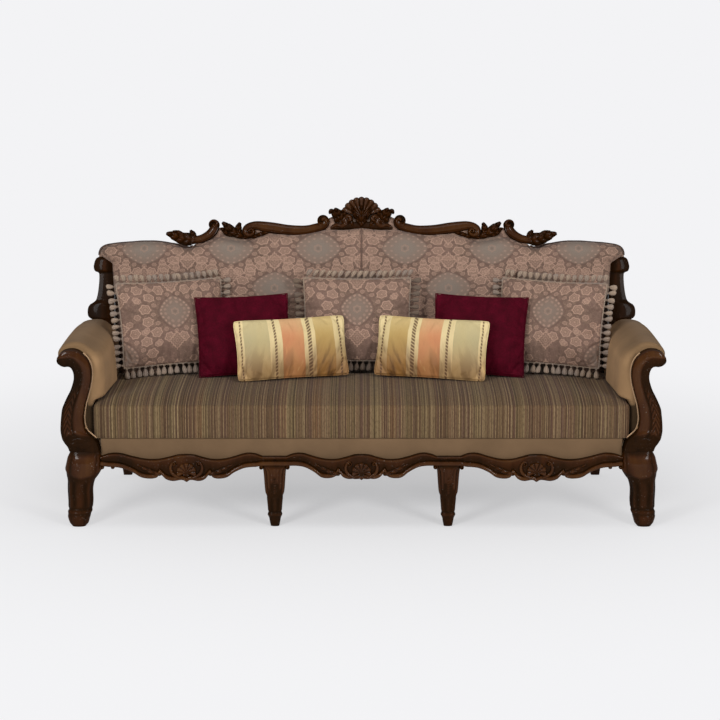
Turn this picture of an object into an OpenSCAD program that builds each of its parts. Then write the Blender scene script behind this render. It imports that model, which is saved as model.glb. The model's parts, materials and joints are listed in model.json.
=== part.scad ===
// Three-seat rolled-arm sofa with a carved crest, cabriole legs and loose pillows.
// Built front plane first: y counts back from the front of the carving, z up from the floor.

/* [Overall] */
// Width across the two arm rolls
overall_width = 2200; // [2050:10:2400]
// Depth from the carved front to the back of the top rail
overall_depth = 850; // [810:5:900]
// Height of the carved shell above the floor
crest_height = 1117; // [1080:1:1180]
// Height of the arm rolls
arm_height = 684; // [660:1:710]
// Lean of the back from upright
back_lean = 12; // [10:0.5:14]

/* [Seat] */
// Underside of the seat rails
rail_z = 232; // [215:1:245]
// Depth of the seat rails
rail_h = 98; // [90:1:105]
// Thickness of the seat rails
rail_t = 40; // [30:1:45]
// Thickness of the seat cushion at its edge
cushion_t = 132; // [110:1:150]
// Rise of the seat cushion towards its middle
seat_crown = 12; // [6:1:18]
// Setback of the seat cushion behind the front plane
cushion_y = 35; // [28:1:40]

/* [Back] */
// Thickness of the back frame
back_t = 45; // [35:1:55]
// Thickness of the back padding
pad_t = 75; // [60:1:85]
// Width of the visible back posts
stile_w = 46; // [40:1:50]

/* [Arms] */
// Width from the outside of the roll to the inside of the arm at the back
arm_w = 148; // [140:1:160]
// Thickness of the arm board
arm_board_t = 22; // [18:1:25]
// Depth of the carved arm facing
facing_t = 45; // [35:1:48]

/* [Legs and apron] */
// Distance of the middle legs from the centre
middle_leg_x = 319; // [280:1:340]
// Width of the front leg across its top block
front_leg_w = 106; // [96:1:110]
// Depth of the front leg across its top block
front_leg_d = 95; // [85:1:98]
// Thickness of the apron board
apron_t = 20; // [16:1:22]
// Distance of the back legs from the centre, less than half the width
back_leg_in = 161; // [150:1:175]
// Distance that the back legs rake out behind their tops
back_leg_rake = 122; // [100:1:135]

/* [Pillows] */
// Width of a fringed pillow
fringed_w = 420; // [380:5:440]
// Height of a fringed pillow
fringed_h = 330; // [300:5:350]
// Thickness of a fringed pillow
fringed_t = 110; // [90:5:140]
// Length of a tassel
tassel_l = 38; // [30:1:42]
// Spacing of the tassels
tassel_pitch = 24; // [20:1:30]
// Width of a velvet pillow
velvet_w = 362; // [330:5:380]
// Height of a velvet pillow
velvet_h = 312; // [290:5:330]
// Thickness of a velvet pillow
velvet_t = 85; // [75:5:120]
// Width of a striped pillow
striped_w = 436; // [400:5:450]
// Height of a striped pillow
striped_h = 236; // [200:1:250]
// Thickness of a striped pillow
striped_t = 85; // [75:5:110]

/* [Fits] */
// Clearance between neighbouring pieces
gap = 0.3; // [0.2:0.05:0.5]
// Diameter of the dowels
dowel_d = 10; // [8:1:12]
// Length of the dowels
dowel_l = 50; // [40:1:60]

/* [Hidden] */
$fn = 48;

walnut = "#4a2a1a";
beech = "#c9a878";
damask = "#8f7a70";
suede = "#a08a68";
steel = "#8c8f92";
stripe = "#6f5a3c";
nylon = "#2c2a28";
yarn = "#8a7a6a";
wine = "#5a0f24";
silk = "#c9b477";
black_cloth = "#26231f";

// Main stations
half = overall_width / 2;
rail_top = rail_z + rail_h;
seat_top = rail_top + gap + cushion_t;
lean_sin = sin(back_lean);
lean_cos = cos(back_lean);
board_drop = 52;
cover_t = 2;
relief = 24;
crest_back = -14;
shell_rim = crest_back + 0.55 * (relief - crest_back);
crest_s = (crest_height - shell_rim * lean_sin) / lean_cos;
// Foot of the back plane, set so that the top rail's rear edge meets the overall depth
back_y = overall_depth - (crest_s - board_drop) * lean_sin - (back_t + cover_t + gap) * lean_cos;
function back_front(z) = back_y + z * lean_sin / lean_cos;
// Distance up the back plane at a height, and at a drop below the crest
function up(z) = z / lean_cos;
function below(d) = crest_s - d;

// Insides of the front legs, side rails, arm boards and back posts, and the top of the front legs
leg_in = half - 145;
side_rail_x = half - 115;
board_x = half - 100;
stile_x = half - 123;
leg_top = rail_z + 54.7;
// Front of the leg blocks, back of the arm facings and front of the seat rail
front_y0 = 5;
facing_y1 = 57;
facing_y0 = facing_y1 - gap - facing_t;
rail_y = 50 + gap;
// Room between the seat cushion and the back padding
cushion_room = 4;
cushion_back_y = back_front(rail_top) - pad_t / lean_cos - cushion_room;

// A smooth curve through points that may carry extra values, such as a width
function cubic(a, b, c, d, t) =
    b + 0.5 * t * (c - a + t * (2 * a - 5 * b + 4 * c - d + t * (3 * (b - c) + d - a)));
function curve(p, n = 4) = let (m = len(p) - 1) [
    for (i = [0:m - 1], k = [0:n - 1])
        cubic(p[max(i - 1, 0)], p[i], p[i + 1], p[min(i + 2, m)], k / n),
    p[m]
];
function table(p, x, i = 0) =
    x <= p[0][0] ? p[0][1]
    : i >= len(p) - 1 ? p[len(p) - 1][1]
    : x <= p[i + 1][0] ? p[i][1] + (p[i + 1][1] - p[i][1]) * (x - p[i][0]) / (p[i + 1][0] - p[i][0])
    : table(p, x, i + 1);
function reversed(p) = [for (i = [len(p) - 1:-1:0]) p[i]];
function power(v, e) = sign(v) * pow(abs(v), e);

function middle(r) = [for (i = [0:2]) sum_of([for (q = r) q[i]]) / len(r)];
function sum_of(v, i = 0) = i == len(v) ? 0 : v[i] + sum_of(v, i + 1);
// A closed skin through rings of equal length. Each end is a fan of triangles, about the
// ring's middle or, where an end isn't seen whole from there, about its first point
module skin(rings, from_middle = true) {
    n = len(rings[0]);
    top = (len(rings) - 1) * n;
    ends = len(rings) * n;
    sides = [
        for (i = [0:len(rings) - 2], j = [0:n - 1])
            let (a = i * n + j, b = i * n + (j + 1) % n)
                each [[a, a + n, b], [b, a + n, b + n]]
    ];
    caps = from_middle
        ? [for (j = [0:n - 1]) let (k = (j + 1) % n) each [[ends, j, k], [ends + 1, top + k, top + j]]]
        : [for (j = [1:n - 2]) each [[0, j, j + 1], [top, top + j + 1, top + j]]];
    poles = from_middle ? [middle(rings[0]), middle(rings[len(rings) - 1])] : [];
    polyhedron(concat([for (r = rings) each r], poles), concat(sides, caps));
}
// Frame of the leaning back: x across, y up the slope, z towards the sitter
module on_back() {
    translate([0, back_y, 0]) rotate([90 - back_lean, 0, 0]) children();
}
// Everything behind the back plane, less the clearance
module behind_back() {
    on_back() translate([-overall_width, -overall_depth, -overall_depth])
        cube([2 * overall_width, 3 * overall_depth, overall_depth + gap]);
}
// A side profile drawn in (y, z), carried across from x0 for a width
module across(x0, w) {
    translate([x0, 0, 0]) rotate([90, 0, 90]) linear_extrude(w) children();
}
// A front profile drawn in (x, z), carried back from y0 for a depth
module back_from(y0, d) {
    translate([0, y0 + d, 0]) rotate([90, 0, 0]) linear_extrude(d) children();
}
module mirrored() {
    mirror([1, 0, 0]) children();
}
module dowel_hole(l = dowel_l) {
    translate([0, 0, -l / 2 - gap]) cylinder(d = dowel_d + 2 * gap, h = l + 2 * gap);
}
module dowel() {
    translate([0, 0, -dowel_l / 2]) cylinder(d = dowel_d, h = dowel_l);
}

// Seat frame
rail_dowel_z = [rail_z + 20, rail_z + 40];
module rail_dowels_at() {
    for (s = [-1, 1], z = rail_dowel_z)
        translate([s * leg_in, rail_y + rail_t / 2, z]) rotate([0, 90, 0]) children();
}
module front_seat_rail() {
    color(beech) difference() {
        translate([-leg_in + gap, rail_y, rail_z]) cube([2 * (leg_in - gap), rail_t, rail_h]);
        rail_dowels_at() dowel_hole();
        for (s = [-1, 1])
            translate([s * middle_leg_x, rail_y + rail_t / 2, rail_z]) dowel_hole();
    }
}
module back_seat_rail() {
    color(beech) difference() {
        across(-stile_x + gap, 2 * (stile_x - gap))
            polygon([
                [back_front(rail_z), rail_z], [back_front(rail_top), rail_top],
                [back_front(rail_top) + back_t, rail_top], [back_front(rail_z) + back_t, rail_z]
            ]);
        back_leg_dowels_at() dowel_hole();
    }
}
module right_side_rail() {
    color(beech) difference() {
        translate([side_rail_x, front_y0 + front_leg_d + gap, rail_z])
            cube([rail_t, overall_depth, rail_h]);
        behind_back();
    }
}
module left_side_rail() mirrored() right_side_rail();
// How much lower the braces and blocks are than the rails, to leave room for the springs
brace_drop = 30;
module right_seat_brace() {
    color(beech) difference() {
        translate([middle_leg_x - rail_t / 2, rail_y + rail_t + gap, rail_z])
            cube([rail_t, overall_depth, rail_h - brace_drop]);
        behind_back();
    }
}
module left_seat_brace() mirrored() right_seat_brace();
block_size = 62;
block_end = 14;
module corner_block() {
    translate([0, 0, rail_z]) linear_extrude(rail_h - brace_drop)
        polygon([
            [0, 0], [-block_size, 0], [-block_size, block_end], [-block_end, block_size], [0, block_size]
        ]);
}
module corner_blocks() {
    color(beech) for (s = [0, 1]) mirror([s, 0, 0]) {
        translate([leg_in - gap - 2, rail_y + rail_t + gap, 0]) corner_block();
        translate([side_rail_x - gap, back_front(rail_z) - gap, 0]) mirror([0, 1, 0]) corner_block();
    }
}

// Springs, their clips and the deck they carry
spring_n = 11;
spring_z = rail_top - 24;
spring_step = 46;
wire = 4;
spring_y0 = rail_y + rail_t + 6;
spring_len = back_front(spring_z) - 6 - spring_y0;
function spring_x(i) = (i - (spring_n - 1) / 2) * (2 * leg_in - 190) / (spring_n - 1);
module spring_path() {
    loops = floor(spring_len / spring_step) - 1;
    for (k = [0:loops]) {
        y = k * spring_len / (loops + 1);
        translate([-spring_step / 2, y]) square([spring_step, wire]);
        translate([k % 2 == 0 ? spring_step / 2 - wire : -spring_step / 2, y])
            square([wire, spring_len / (loops + 1) + (k == loops ? 0 : wire)]);
    }
}
module seat_springs() {
    color(steel) for (i = [0:spring_n - 1])
        translate([spring_x(i), spring_y0, spring_z]) linear_extrude(wire) spring_path();
}
clip = [18, 14, 3];
module spring_clips() {
    color(steel) for (i = [0:spring_n - 1], z = [spring_z + wire + gap, spring_z - clip[2] - gap])
        translate([spring_x(i) - clip[0] / 2, rail_y + rail_t + gap, z]) cube(clip);
}
deck_t = 15;
module seat_deck() {
    y0 = rail_y + rail_t + gap;
    color(suede) difference() {
        translate([-side_rail_x + gap, y0, rail_top - deck_t])
            cube([2 * (side_rail_x - gap), overall_depth, deck_t]);
        behind_back();
        for (s = [-1, 1])
            translate([s * (leg_in + front_leg_w / 2), 0, leg_top])
                cube([front_leg_w + 2 * gap, 2 * (front_y0 + front_leg_d + gap), 2 * rail_h],
                    center = true);
    }
}

// Seat cushion: rings stepped in from its outline, each at its own height
seat_edge = 10;
seat_run = 190;
seat_front_w = half - 124;
seat_back_w = half - arm_w - 4;
seat_mid_y = (cushion_y + cushion_back_y) / 2;
seat_half_d = (cushion_back_y - cushion_y) / 2;
function seat_rise(d) = d < seat_edge
    ? -seat_edge + sqrt(pow(seat_edge, 2) - pow(seat_edge - d, 2))
    : seat_crown * (1 - pow(1 - min((d - seat_edge) / seat_run, 1), 2));
function seat_half_w(y) =
    seat_front_w + (seat_back_w - seat_front_w) * (y - cushion_y) / (2 * seat_half_d);
function seat_z(x, y) = let (d = min(y - cushion_y, cushion_back_y - y, seat_half_w(y) - abs(x)))
    seat_top + seat_rise(max(d, 0));
// One ring of the cushion, drawn in by d, with round corners
function seat_ring(d, z) = let (r = max(14 - d, 3), h = seat_half_d - d, side = 8)
    [
        for (q = [0:3])
            let (
                sx = (q == 0 || q == 3) ? 1 : -1,
                sy = q < 2 ? 1 : -1,
                span = (q == 1 || q == 3) ? side : 2
            )
                each concat(
                    [
                        for (k = [0:3])
                            let (
                                a = q * 90 + k * 30,
                                y = sy * (h - r) + r * sin(a),
                                w = seat_half_w(seat_mid_y + y) - d
                            )
                                [sx * (w - r) + r * cos(a), seat_mid_y + y, z]
                    ],
                    (q == 0 || q == 2)
                        ? let (y = seat_mid_y + sy * h, w = seat_half_w(y) - d - r)
                            [for (k = [1:side]) [sx * (1 - 2 * k / (side + 1)) * w, y, z]]
                        : []
                )
    ];
module seat_cushion() {
    z0 = rail_top + gap;
    color(stripe) skin(concat(
        [seat_ring(7, z0), seat_ring(0, z0 + 7), seat_ring(-2, z0 + cushion_t * 0.5)],
        [for (d = [0, 4, 10, 40, 90, 150, seat_edge + seat_run]) seat_ring(d, seat_top + seat_rise(d))]
    ));
}

// Padding over the front rail, above the apron
apron_y = 14;
apron_back = rail_y - gap;
pad_z = rail_z + 13;
module front_rail_pad() {
    color(suede) translate([-leg_in + gap, apron_y + apron_t + gap, pad_z])
        cube([2 * (leg_in - gap), rail_y - gap - apron_y - apron_t - gap, rail_top - pad_z]);
}

// Legs: rings of a rounded block, each [z, inner x, outer x, front y, back y, squareness]
function block_ring(s, sides = 16) = let (
        cx = (s[1] + s[2]) / 2, rx = (s[2] - s[1]) / 2,
        cy = (s[3] + s[4]) / 2, ry = (s[4] - s[3]) / 2, e = 2 / s[5]
    )
    [
        for (k = [0:sides - 1]) let (a = (k + 0.5) * 360 / sides)
            [cx + rx * power(cos(a), e), cy + ry * power(sin(a), e), s[0]]
    ];
lx = leg_in;
front_leg_back = front_y0 + front_leg_d;
front_leg_sections = [
    [0, lx + 66, lx + 106, 14, 56, 2.4],
    [rail_z * 0.05, lx + 58, lx + 113, 10, 62, 2.4],
    [rail_z * 0.14, lx + 51, lx + 117, 5, 68, 2.3],
    [rail_z * 0.23, lx + 40, lx + 123, 6, 74, 2.3],
    [rail_z * 0.31, lx + 32, lx + 121, 12, 78, 2.3],
    [rail_z * 0.42, lx + 30, lx + 119, 14, 82, 2.4],
    [rail_z * 0.6, lx + 31, lx + 120, 10, 86, 2.6],
    [rail_z * 0.74, lx + 29, lx + 122, 4, 92, 2.8],
    [rail_z * 0.83, lx + 16, lx + 126, 1, front_leg_back, 3.2],
    [rail_z * 0.92, lx, lx + 128, 0, front_leg_back, 4],
    [rail_z + 8, lx, lx + 123, 2, front_leg_back, 6],
    [leg_top - 12, lx, lx + front_leg_w + 6, front_y0, front_leg_back, 8],
    [leg_top, lx, lx + front_leg_w, front_y0, front_leg_back, 10]
];
module right_front_leg() {
    color(walnut) difference() {
        skin([for (s = front_leg_sections) block_ring(s)]);
        rail_dowels_at() dowel_hole();
        facing_dowel_at() dowel_hole();
        translate([lx + 86, 35, 0]) glide_socket();
    }
}
module left_front_leg() mirrored() right_front_leg();
mx = middle_leg_x;
middle_leg_sections = [
    [0, mx - 14, mx + 14, 22, 50, 2.6],
    [rail_z * 0.06, mx - 15, mx + 15, 20, 51, 2.4],
    [rail_z * 0.14, mx - 18, mx + 18, 17, 54, 2.3],
    [rail_z * 0.185, mx - 23, mx + 23, 15, 57, 2.3],
    [rail_z * 0.25, mx - 21, mx + 21, 18, 58, 2.3],
    [rail_z * 0.45, mx - 25, mx + 25, 18, 64, 2.4],
    [rail_z * 0.68, mx - 32, mx + 32, 14, 74, 2.6],
    [rail_z * 0.86, mx - 36, mx + 36, 11, 84, 3],
    [rail_z * 0.95, mx - 42, mx + 42, 11, 89, 4],
    [rail_z - gap, mx - 44, mx + 44, 12, 90, 8]
];
module right_middle_leg() {
    color(walnut) difference() {
        skin([for (s = middle_leg_sections) block_ring(s)]);
        translate([mx, rail_y + rail_t / 2, rail_z]) dowel_hole();
        translate([mx, 36, 0]) glide_socket();
    }
}
module left_middle_leg() mirrored() right_middle_leg();
back_leg_w = 44;
back_leg_x = half - back_leg_in;
module back_leg_dowels_at() {
    for (s = [-1, 1])
        translate([s * back_leg_x, back_front(rail_z) + back_t / 2, rail_z]) children();
}
module right_back_leg() {
    y = back_front(rail_z);
    foot = back_leg_rake;
    color(walnut) difference() {
        intersection() {
            across(back_leg_x - back_leg_w, 2 * back_leg_w)
                polygon(concat(
                    curve([
                        [y, rail_z - gap], [y + 4, rail_z * 0.8], [y + foot * 0.42, rail_z * 0.4],
                        [y + foot, 0]
                    ]),
                    reversed(curve([
                        [y + back_t, rail_z - gap], [y + back_t + 6, rail_z * 0.8],
                        [y + back_t + foot * 0.46, rail_z * 0.4], [y + foot + 38, 0]
                    ]))
                ));
            back_from(y - 10, 2 * foot)
                polygon([
                    [back_leg_x - back_leg_w / 2, rail_z], [back_leg_x + back_leg_w / 2, rail_z],
                    [back_leg_x + 17, 0], [back_leg_x - 17, 0]
                ]);
        }
        back_leg_dowels_at() dowel_hole();
        translate([back_leg_x, y + foot + 19, 0]) glide_socket();
    }
}
module left_back_leg() mirrored() right_back_leg();
// Nylon glides: each has a pin in a hole in the foot and a face flush with the floor
glide_d = 20;
glide_t = 3;
module glide_socket() {
    translate([0, 0, -1]) cylinder(d = glide_d + 2 * gap, h = glide_t + gap + 1);
    cylinder(d = 5 + 2 * gap, h = 16 + gap);
}
module glide() {
    cylinder(d = glide_d, h = glide_t);
    cylinder(d = 5, h = 16);
}
module foot_glides() {
    color(nylon) for (s = [-1, 1]) {
        translate([s * (lx + 86), 35, 0]) glide();
        translate([s * mx, 36, 0]) glide();
        translate([s * back_leg_x, back_front(rail_z) + back_leg_rake + 19, 0]) glide();
    }
}

// Apron: a board with a waved lower edge, a bead along that edge and a shell at mid bay.
// Its edges follow one pattern from the shell (q = 0) to the leg (q = 1)
apron_low = [
    [0, -57], [0.055, -49], [0.16, -53], [0.24, -46], [0.31, -26], [0.345, -39], [0.42, -44],
    [0.53, -39], [0.63, -20], [0.75, -5], [0.86, 0], [1, 0]
];
apron_end = 34;
apron_high = [
    [0, 41], [0.1, 39], [0.21, 30], [0.34, 22], [0.48, 23], [0.62, 32], [0.78, 45], [0.9, 44],
    [1, apron_end]
];
function bay_edge(p, xs, len, n = 4) = [for (q = curve(p, n)) [xs + q[0] * len, rail_z + q[1]]];
// A bay from the shell at xs: to the right for a length, to the left for another
function bay_line(p, xs, left, right) = concat(
    reversed([for (q = bay_edge(p, 0, 1)) [xs - q[0] * left, q[1]]]),
    [for (q = bay_edge(p, 0, 1)) if (q[0] > 0) [xs + q[0] * right, q[1]]]
);
bead_h = 13;
module apron_board(xs, left, right, x0, x1) {
    low = bay_line(apron_low, xs, left, right);
    high = bay_line(apron_high, xs, left, right);
    back_from(apron_y, apron_t) polygon(concat(
        [[x0, rail_z], [x0, rail_z + apron_end]], high, [[x1, rail_z + apron_end], [x1, rail_z]],
        reversed(low)
    ));
    back_from(apron_y + 4, apron_back - apron_y - 4)
        polygon([[x0, rail_z + 1], [x0, pad_z - gap], [x1, pad_z - gap], [x1, rail_z + 1]]);
    bead = [for (p = low) [p[0], p[1] + 2]];
    back_from(apron_y - 6, 12)
        polygon(concat(bead, reversed([for (p = bead) [p[0], p[1] + bead_h]])));
}
// Fan-shaped shell on the apron: loops shrunk towards the fan's root
shell_ribs = 7;
// Radius of a shell's outline at an angle from its middle rib: ribs across the spread, then a stem
function shell_r(a, r, stem, spread) = abs(a) < spread
    ? r * (1 - 0.09 * pow(abs(sin(a * 90 * shell_ribs / spread)), 1.5))
    : stem;
function shell_loop(t, f, r, stem, spread, n = 72) = [
    for (k = [0:n - 1]) let (a = k * 360 / n - 180, d = t * shell_r(a, r, stem, spread))
        [-d * sin(a), d * cos(a), f]
];
module shell(r, stem, spread, f0, f1) {
    rim = f0 + (f1 - f0) * 0.55;
    skin([
        shell_loop(1, f0, r, stem, spread), shell_loop(1, rim, r, stem, spread),
        shell_loop(0.94, f1, r, stem, spread), shell_loop(0.62, f1 - 5, r, stem, spread),
        shell_loop(0.3, f1 - 2, r, stem, spread)
    ]);
}
module apron_shell(xs) {
    translate([xs, apron_y + 4, rail_z - 18]) rotate([90, 0, 0]) shell(46, 26, 96, 0, 16);
}
mid_in = mx - 44;
mid_out = mx + 44;
bay_shell_x = mid_out + (leg_in - mid_out) * 0.47;
module right_apron() {
    color(walnut) {
        apron_board(
            bay_shell_x, bay_shell_x - mid_out, leg_in - gap - bay_shell_x, mx + gap / 2, leg_in - gap
        );
        apron_shell(bay_shell_x);
    }
}
module left_apron() mirrored() right_apron();
module centre_apron() {
    color(walnut) {
        apron_board(0, mid_in, mid_in, -mx + gap / 2, mx - gap / 2);
        apron_shell(0);
    }
}

// Arms
facing_base = leg_top + gap;
facing_h = arm_height - 22 - facing_base;
// Centre line of the carved facing: [x from the roll's outside, height share, half-width]
facing_line = [
    [-90, 0, 54], [-87, 0.06, 52], [-76, 0.14, 43], [-63, 0.22, 45], [-50, 0.31, 43], [-46, 0.4, 39],
    [-51, 0.48, 34], [-64, 0.58, 30], [-77, 0.67, 31], [-86, 0.76, 33], [-84, 0.84, 32]
];
function facing_z(t) = facing_base + t * facing_h;
function facing_edge(side, k) =
    [for (p = curve(facing_line, 5)) [half + p[0] + side * k * p[2], facing_z(p[1])]];
// The head curls outward over the end of the roll
head_x = half - 45;
head_z = arm_height - 54;
facing_head = [
    [-59, 1], [-42, 18], [-23, 29], [-4, 32], [13, 29], [27, 21], [38, 7], [39, -8], [31, -19],
    [20, -27], [-2, -27]
];
module facing_face(k) {
    polygon(concat(
        facing_edge(-1, k),
        [for (p = curve(facing_head, 3)) [head_x + k * p[0], head_z + k * p[1]]],
        reversed(facing_edge(1, k))
    ));
}
module facing_dowel_at() {
    translate([half - 86, (facing_y0 + facing_y1) / 2, leg_top]) children();
}
module arm_dowels_at() {
    for (z = [rail_top + 40, rail_top + 190])
        translate([board_x + arm_board_t / 2, facing_y1, z]) rotate([90, 0, 0]) children();
}
facing_relief = 8;
module right_arm_facing() {
    color(walnut) difference() {
        union() {
            back_from(facing_y0, facing_t) facing_face(1);
            back_from(facing_y0 - facing_relief, facing_relief + 4) facing_face(0.62);
            translate([head_x + 8, facing_y0 + 4, head_z + 2]) rotate([90, 0, 0])
                rotate_extrude() polygon([[0, 0], [14, 0], [14, 12], [11, 15], [8, 13], [0, 15.5]]);
        }
        facing_dowel_at() dowel_hole();
        arm_dowels_at() dowel_hole();
    }
}
module left_arm_facing() mirrored() right_arm_facing();
roll_x = half - 62;
roll_z = arm_height - 66;
roll_r = 20;
module arm_frame_body(c) {
    difference() {
        union() {
            across(board_x - c, arm_board_t + 2 * c)
                polygon([
                    [facing_y1 - c, leg_top + gap - c], [front_leg_back + gap, leg_top + gap - c],
                    [front_leg_back + gap, rail_top + gap - c],
                    [overall_depth, rail_top + gap - c], [overall_depth, roll_z], [facing_y1 - c, roll_z]
                ]);
            translate([roll_x, facing_y1 - c, roll_z]) rotate([-90, 0, 0])
                cylinder(r = roll_r + c, h = overall_depth);
            translate([board_x - c, facing_y1 - c, roll_z - roll_r + 4])
                cube([roll_x - board_x, overall_depth, 2 * roll_r - 8]);
        }
        if (c == 0) behind_back();
    }
}
module right_arm_frame() {
    color(beech) difference() {
        arm_frame_body(0);
        arm_dowels_at() dowel_hole();
    }
}
module left_arm_frame() mirrored() right_arm_frame();
// Upholstery of the inside arm and roll: rings along y of one section, which closes in towards
// the back: [y, drop of the roll's top, drawn in]
pad_sections = [
    [facing_y1, 0, 3], [facing_y1 + 6, 0, 0], [200, 0, 0], [340, 0, 0],
    [450, 1, 0], [520, 7, 0], [580, 17, 0], [640, 27, 0], [720, 38, 0]
];
function arm_taper(y) = min(1, (y - facing_y1) / (cushion_back_y - facing_y1));
// Inner face: x from the roll's outside at the front and at the back, with height above the rail
inner_face = [
    [-115, -148, 0], [-115, -148, 70], [-115, -148, 128], [-117, -148, 160], [-128, -148, 200],
    [-136, -148, 235], [-137, -146, 262], [-134, -140, 285], [-124, -130, 312], [-104, -110, 336]
];
face_h = 336;
function arm_ring(s) = let (
        f = arm_taper(s[0]), drop = s[1], e = s[2], z0 = rail_top + gap,
        stretch = (arm_height - drop - z0 - 17.7) / face_h
    )
    concat(
        [[board_x + 10, s[0], arm_height - 86], [board_x + 10, s[0], z0]],
        [
            for (p = inner_face)
                [half + p[0] + (p[1] - p[0]) * f + e, s[0], z0 + p[2] * stretch - e * p[2] / face_h]
        ],
        [
            for (a = [125:-25:-75])
                [
                    roll_x + 2 + (60 - e) * cos(a) + (a < 90 ? 0 : 4), s[0],
                    arm_height - (drop + 94) / 2 + (47 - drop / 2 - e) * sin(a)
                ]
        ]
    );
module right_arm_pad() {
    color(suede) difference() {
        skin([for (s = pad_sections) arm_ring(s)], false);
        arm_frame_body(gap);
        behind_back();
    }
}
module left_arm_pad() mirrored() right_arm_pad();
panel_x = side_rail_x + rail_t + gap;
panel_t = 15;
module right_arm_outer_panel() {
    color(suede) difference() {
        translate([panel_x, facing_y1, rail_z])
            cube([panel_t, overall_depth, arm_height - 92 - rail_z]);
        behind_back();
        translate([panel_x - 1, 0, 0]) cube([panel_t + 5, front_leg_back + gap, leg_top + gap]);
        translate([roll_x, 0, roll_z]) rotate([-90, 0, 0])
            cylinder(r = roll_r + gap, h = 2 * overall_depth);
    }
}
module left_arm_outer_panel() mirrored() right_arm_outer_panel();

// Back frame. Outlines run [x, drop below the crest]
board_end = half - 68;
board_top = [
    [0, board_drop], [65, 58], [128, 85], [185, 112], [242, 128], [391, 118], [478, 131], [557, 122],
    [625, 160], [694, 193], [half - 350, 178], [half - 292, 167], [half - 210, 167], [half - 127, 174],
    [half - 86, 184], [board_end, 200], [board_end, 226]
];
board_low = 236;
stile_top = board_low + gap;
function board_line(c = 0) = [for (p = curve(board_top, 5)) [p[0], below(p[1] - c)]];
module board_face(c, low) {
    line = board_line(c);
    polygon(concat(
        [[board_end + c, below(low)]], reversed(line), [for (p = line) if (p[0] > 0) [-p[0], p[1]]],
        [[-board_end - c, below(low)]]
    ));
}
// Pins that hold the carving: [x, drop], their diameter, and how far they reach back and forward
crest_pins = [[0, 97], [88, 98], [212, 132], [300, 137], [478, 154], [612, 162]];
pin_d = 8;
pin_back = 18;
pin_front = 9;
module crest_dowels_at() {
    on_back() for (p = crest_pins, s = p[0] == 0 ? [1] : [-1, 1])
        translate([s * p[0], below(p[1]), 0]) children();
}
module back_top_rail() {
    color(beech) difference() {
        on_back() translate([0, 0, -back_t]) linear_extrude(back_t) board_face(0, board_low);
        crest_dowels_at() crest_pin(gap);
    }
}
module crest_pin(c) {
    translate([0, 0, -pin_back - c]) cylinder(d = pin_d + 2 * c, h = pin_back + pin_front + 2 * c);
}
upright_w = 60;
upright_t = back_t - 10;
upright_foot = up(rail_top) + 12;
module back_upright(x) {
    color(beech) on_back() translate([x - upright_w / 2, upright_foot, -upright_t])
        cube([upright_w, below(stile_top) - upright_foot, upright_t]);
}
module centre_back_upright() back_upright(0);
module right_back_upright() back_upright(half * 0.44);
module left_back_upright() mirrored() right_back_upright();
// Carved post: a block at the top, a drawn-in neck and a scrolled block where it meets the arm
stile_outer = [
    [half - 54, stile_top], [half - 54, stile_top + 45], [half - 76, stile_top + 50],
    [half - 72, stile_top + 100], [half - 66, stile_top + 155], [half - 56, stile_top + 178],
    [half - 32, stile_top + 183], [half - 26, stile_top + 203], [half - 29, stile_top + 232],
    [half - 58, stile_top + 245]
];
module right_back_stile() {
    foot = up(rail_z);
    color(walnut) on_back() translate([0, 0, -back_t]) {
        linear_extrude(back_t) polygon(concat(
            [[stile_x, below(stile_top)]],
            [for (p = stile_outer) [p[0], below(p[1])]],
            [[stile_x + stile_w, below(stile_top + 260)], [stile_x + stile_w, foot], [stile_x, foot]]
        ));
        translate([half - 66, below(stile_top + 22), 0]) cylinder(r = 17, h = back_t + 7);
        translate([half - 50, below(stile_top + 208), 0]) cylinder(r = 20, h = back_t + 7);
    }
}
module left_back_stile() mirrored() right_back_stile();

// Back padding: a flat-topped pad with rounded edges, laid between the seat and the carving
pad_line = [
    [0, 124], [60, 131], [110, 131], [140, 131], [203, 145], [267, 152], [340, 148], [400, 158],
    [450, 177], [500, 173], [560, 163], [600, 172], [650, 192], [694, 196], [half - 350, 180],
    [half - 292, 166], [half - 210, 163], [half - 127, 168], [half - 84, 182]
];
pad_curve = curve(pad_line, 3);
pad_low = up(rail_top + 5);
pad_side = [
    [0, half - arm_w - 3], [up(arm_height + 10), half - arm_w - 3], [up(arm_height + 70), half - 126],
    [below(262), half - 120], [below(board_low), half - 80], [below(205), half - 64], [below(0), half - 64]
];
// u runs from the centre seam to the side, v from the seat to the top
function pad_point(u, v, f) = let (
        near = below(table(pad_curve, u * (half - 80))),
        x = gap / 2 + u * (table(pad_side, pad_low + v * (near - pad_low)) - gap / 2),
        top = below(table(pad_curve, x))
    )
    [x, pad_low + v * (top - pad_low), f];
pad_cols = 18;
pad_rows = 7;
function pad_loop(d, f) = let (du = d / (half - 150), dv = d / 600, n = pad_cols, m = pad_rows)
    concat(
        [for (i = [0:n - 1]) pad_point(du + (1 - 2 * du) * i / n, dv, f)],
        [for (j = [0:m - 1]) pad_point(1 - du, dv + (1 - 2 * dv) * j / m, f)],
        [for (i = [0:n - 1]) pad_point(1 - du - (1 - 2 * du) * i / n, 1 - dv, f)],
        [for (j = [0:m - 1]) pad_point(du, 1 - dv - (1 - 2 * dv) * j / m, f)]
    );
module right_back_pad() {
    color(damask) on_back() skin([
        pad_loop(0, gap), pad_loop(0, pad_t * 0.35), pad_loop(3, pad_t * 0.65), pad_loop(12, pad_t * 0.86),
        pad_loop(28, pad_t * 0.96), pad_loop(60, pad_t)
    ]);
}
module left_back_pad() mirrored() right_back_pad();
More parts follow.
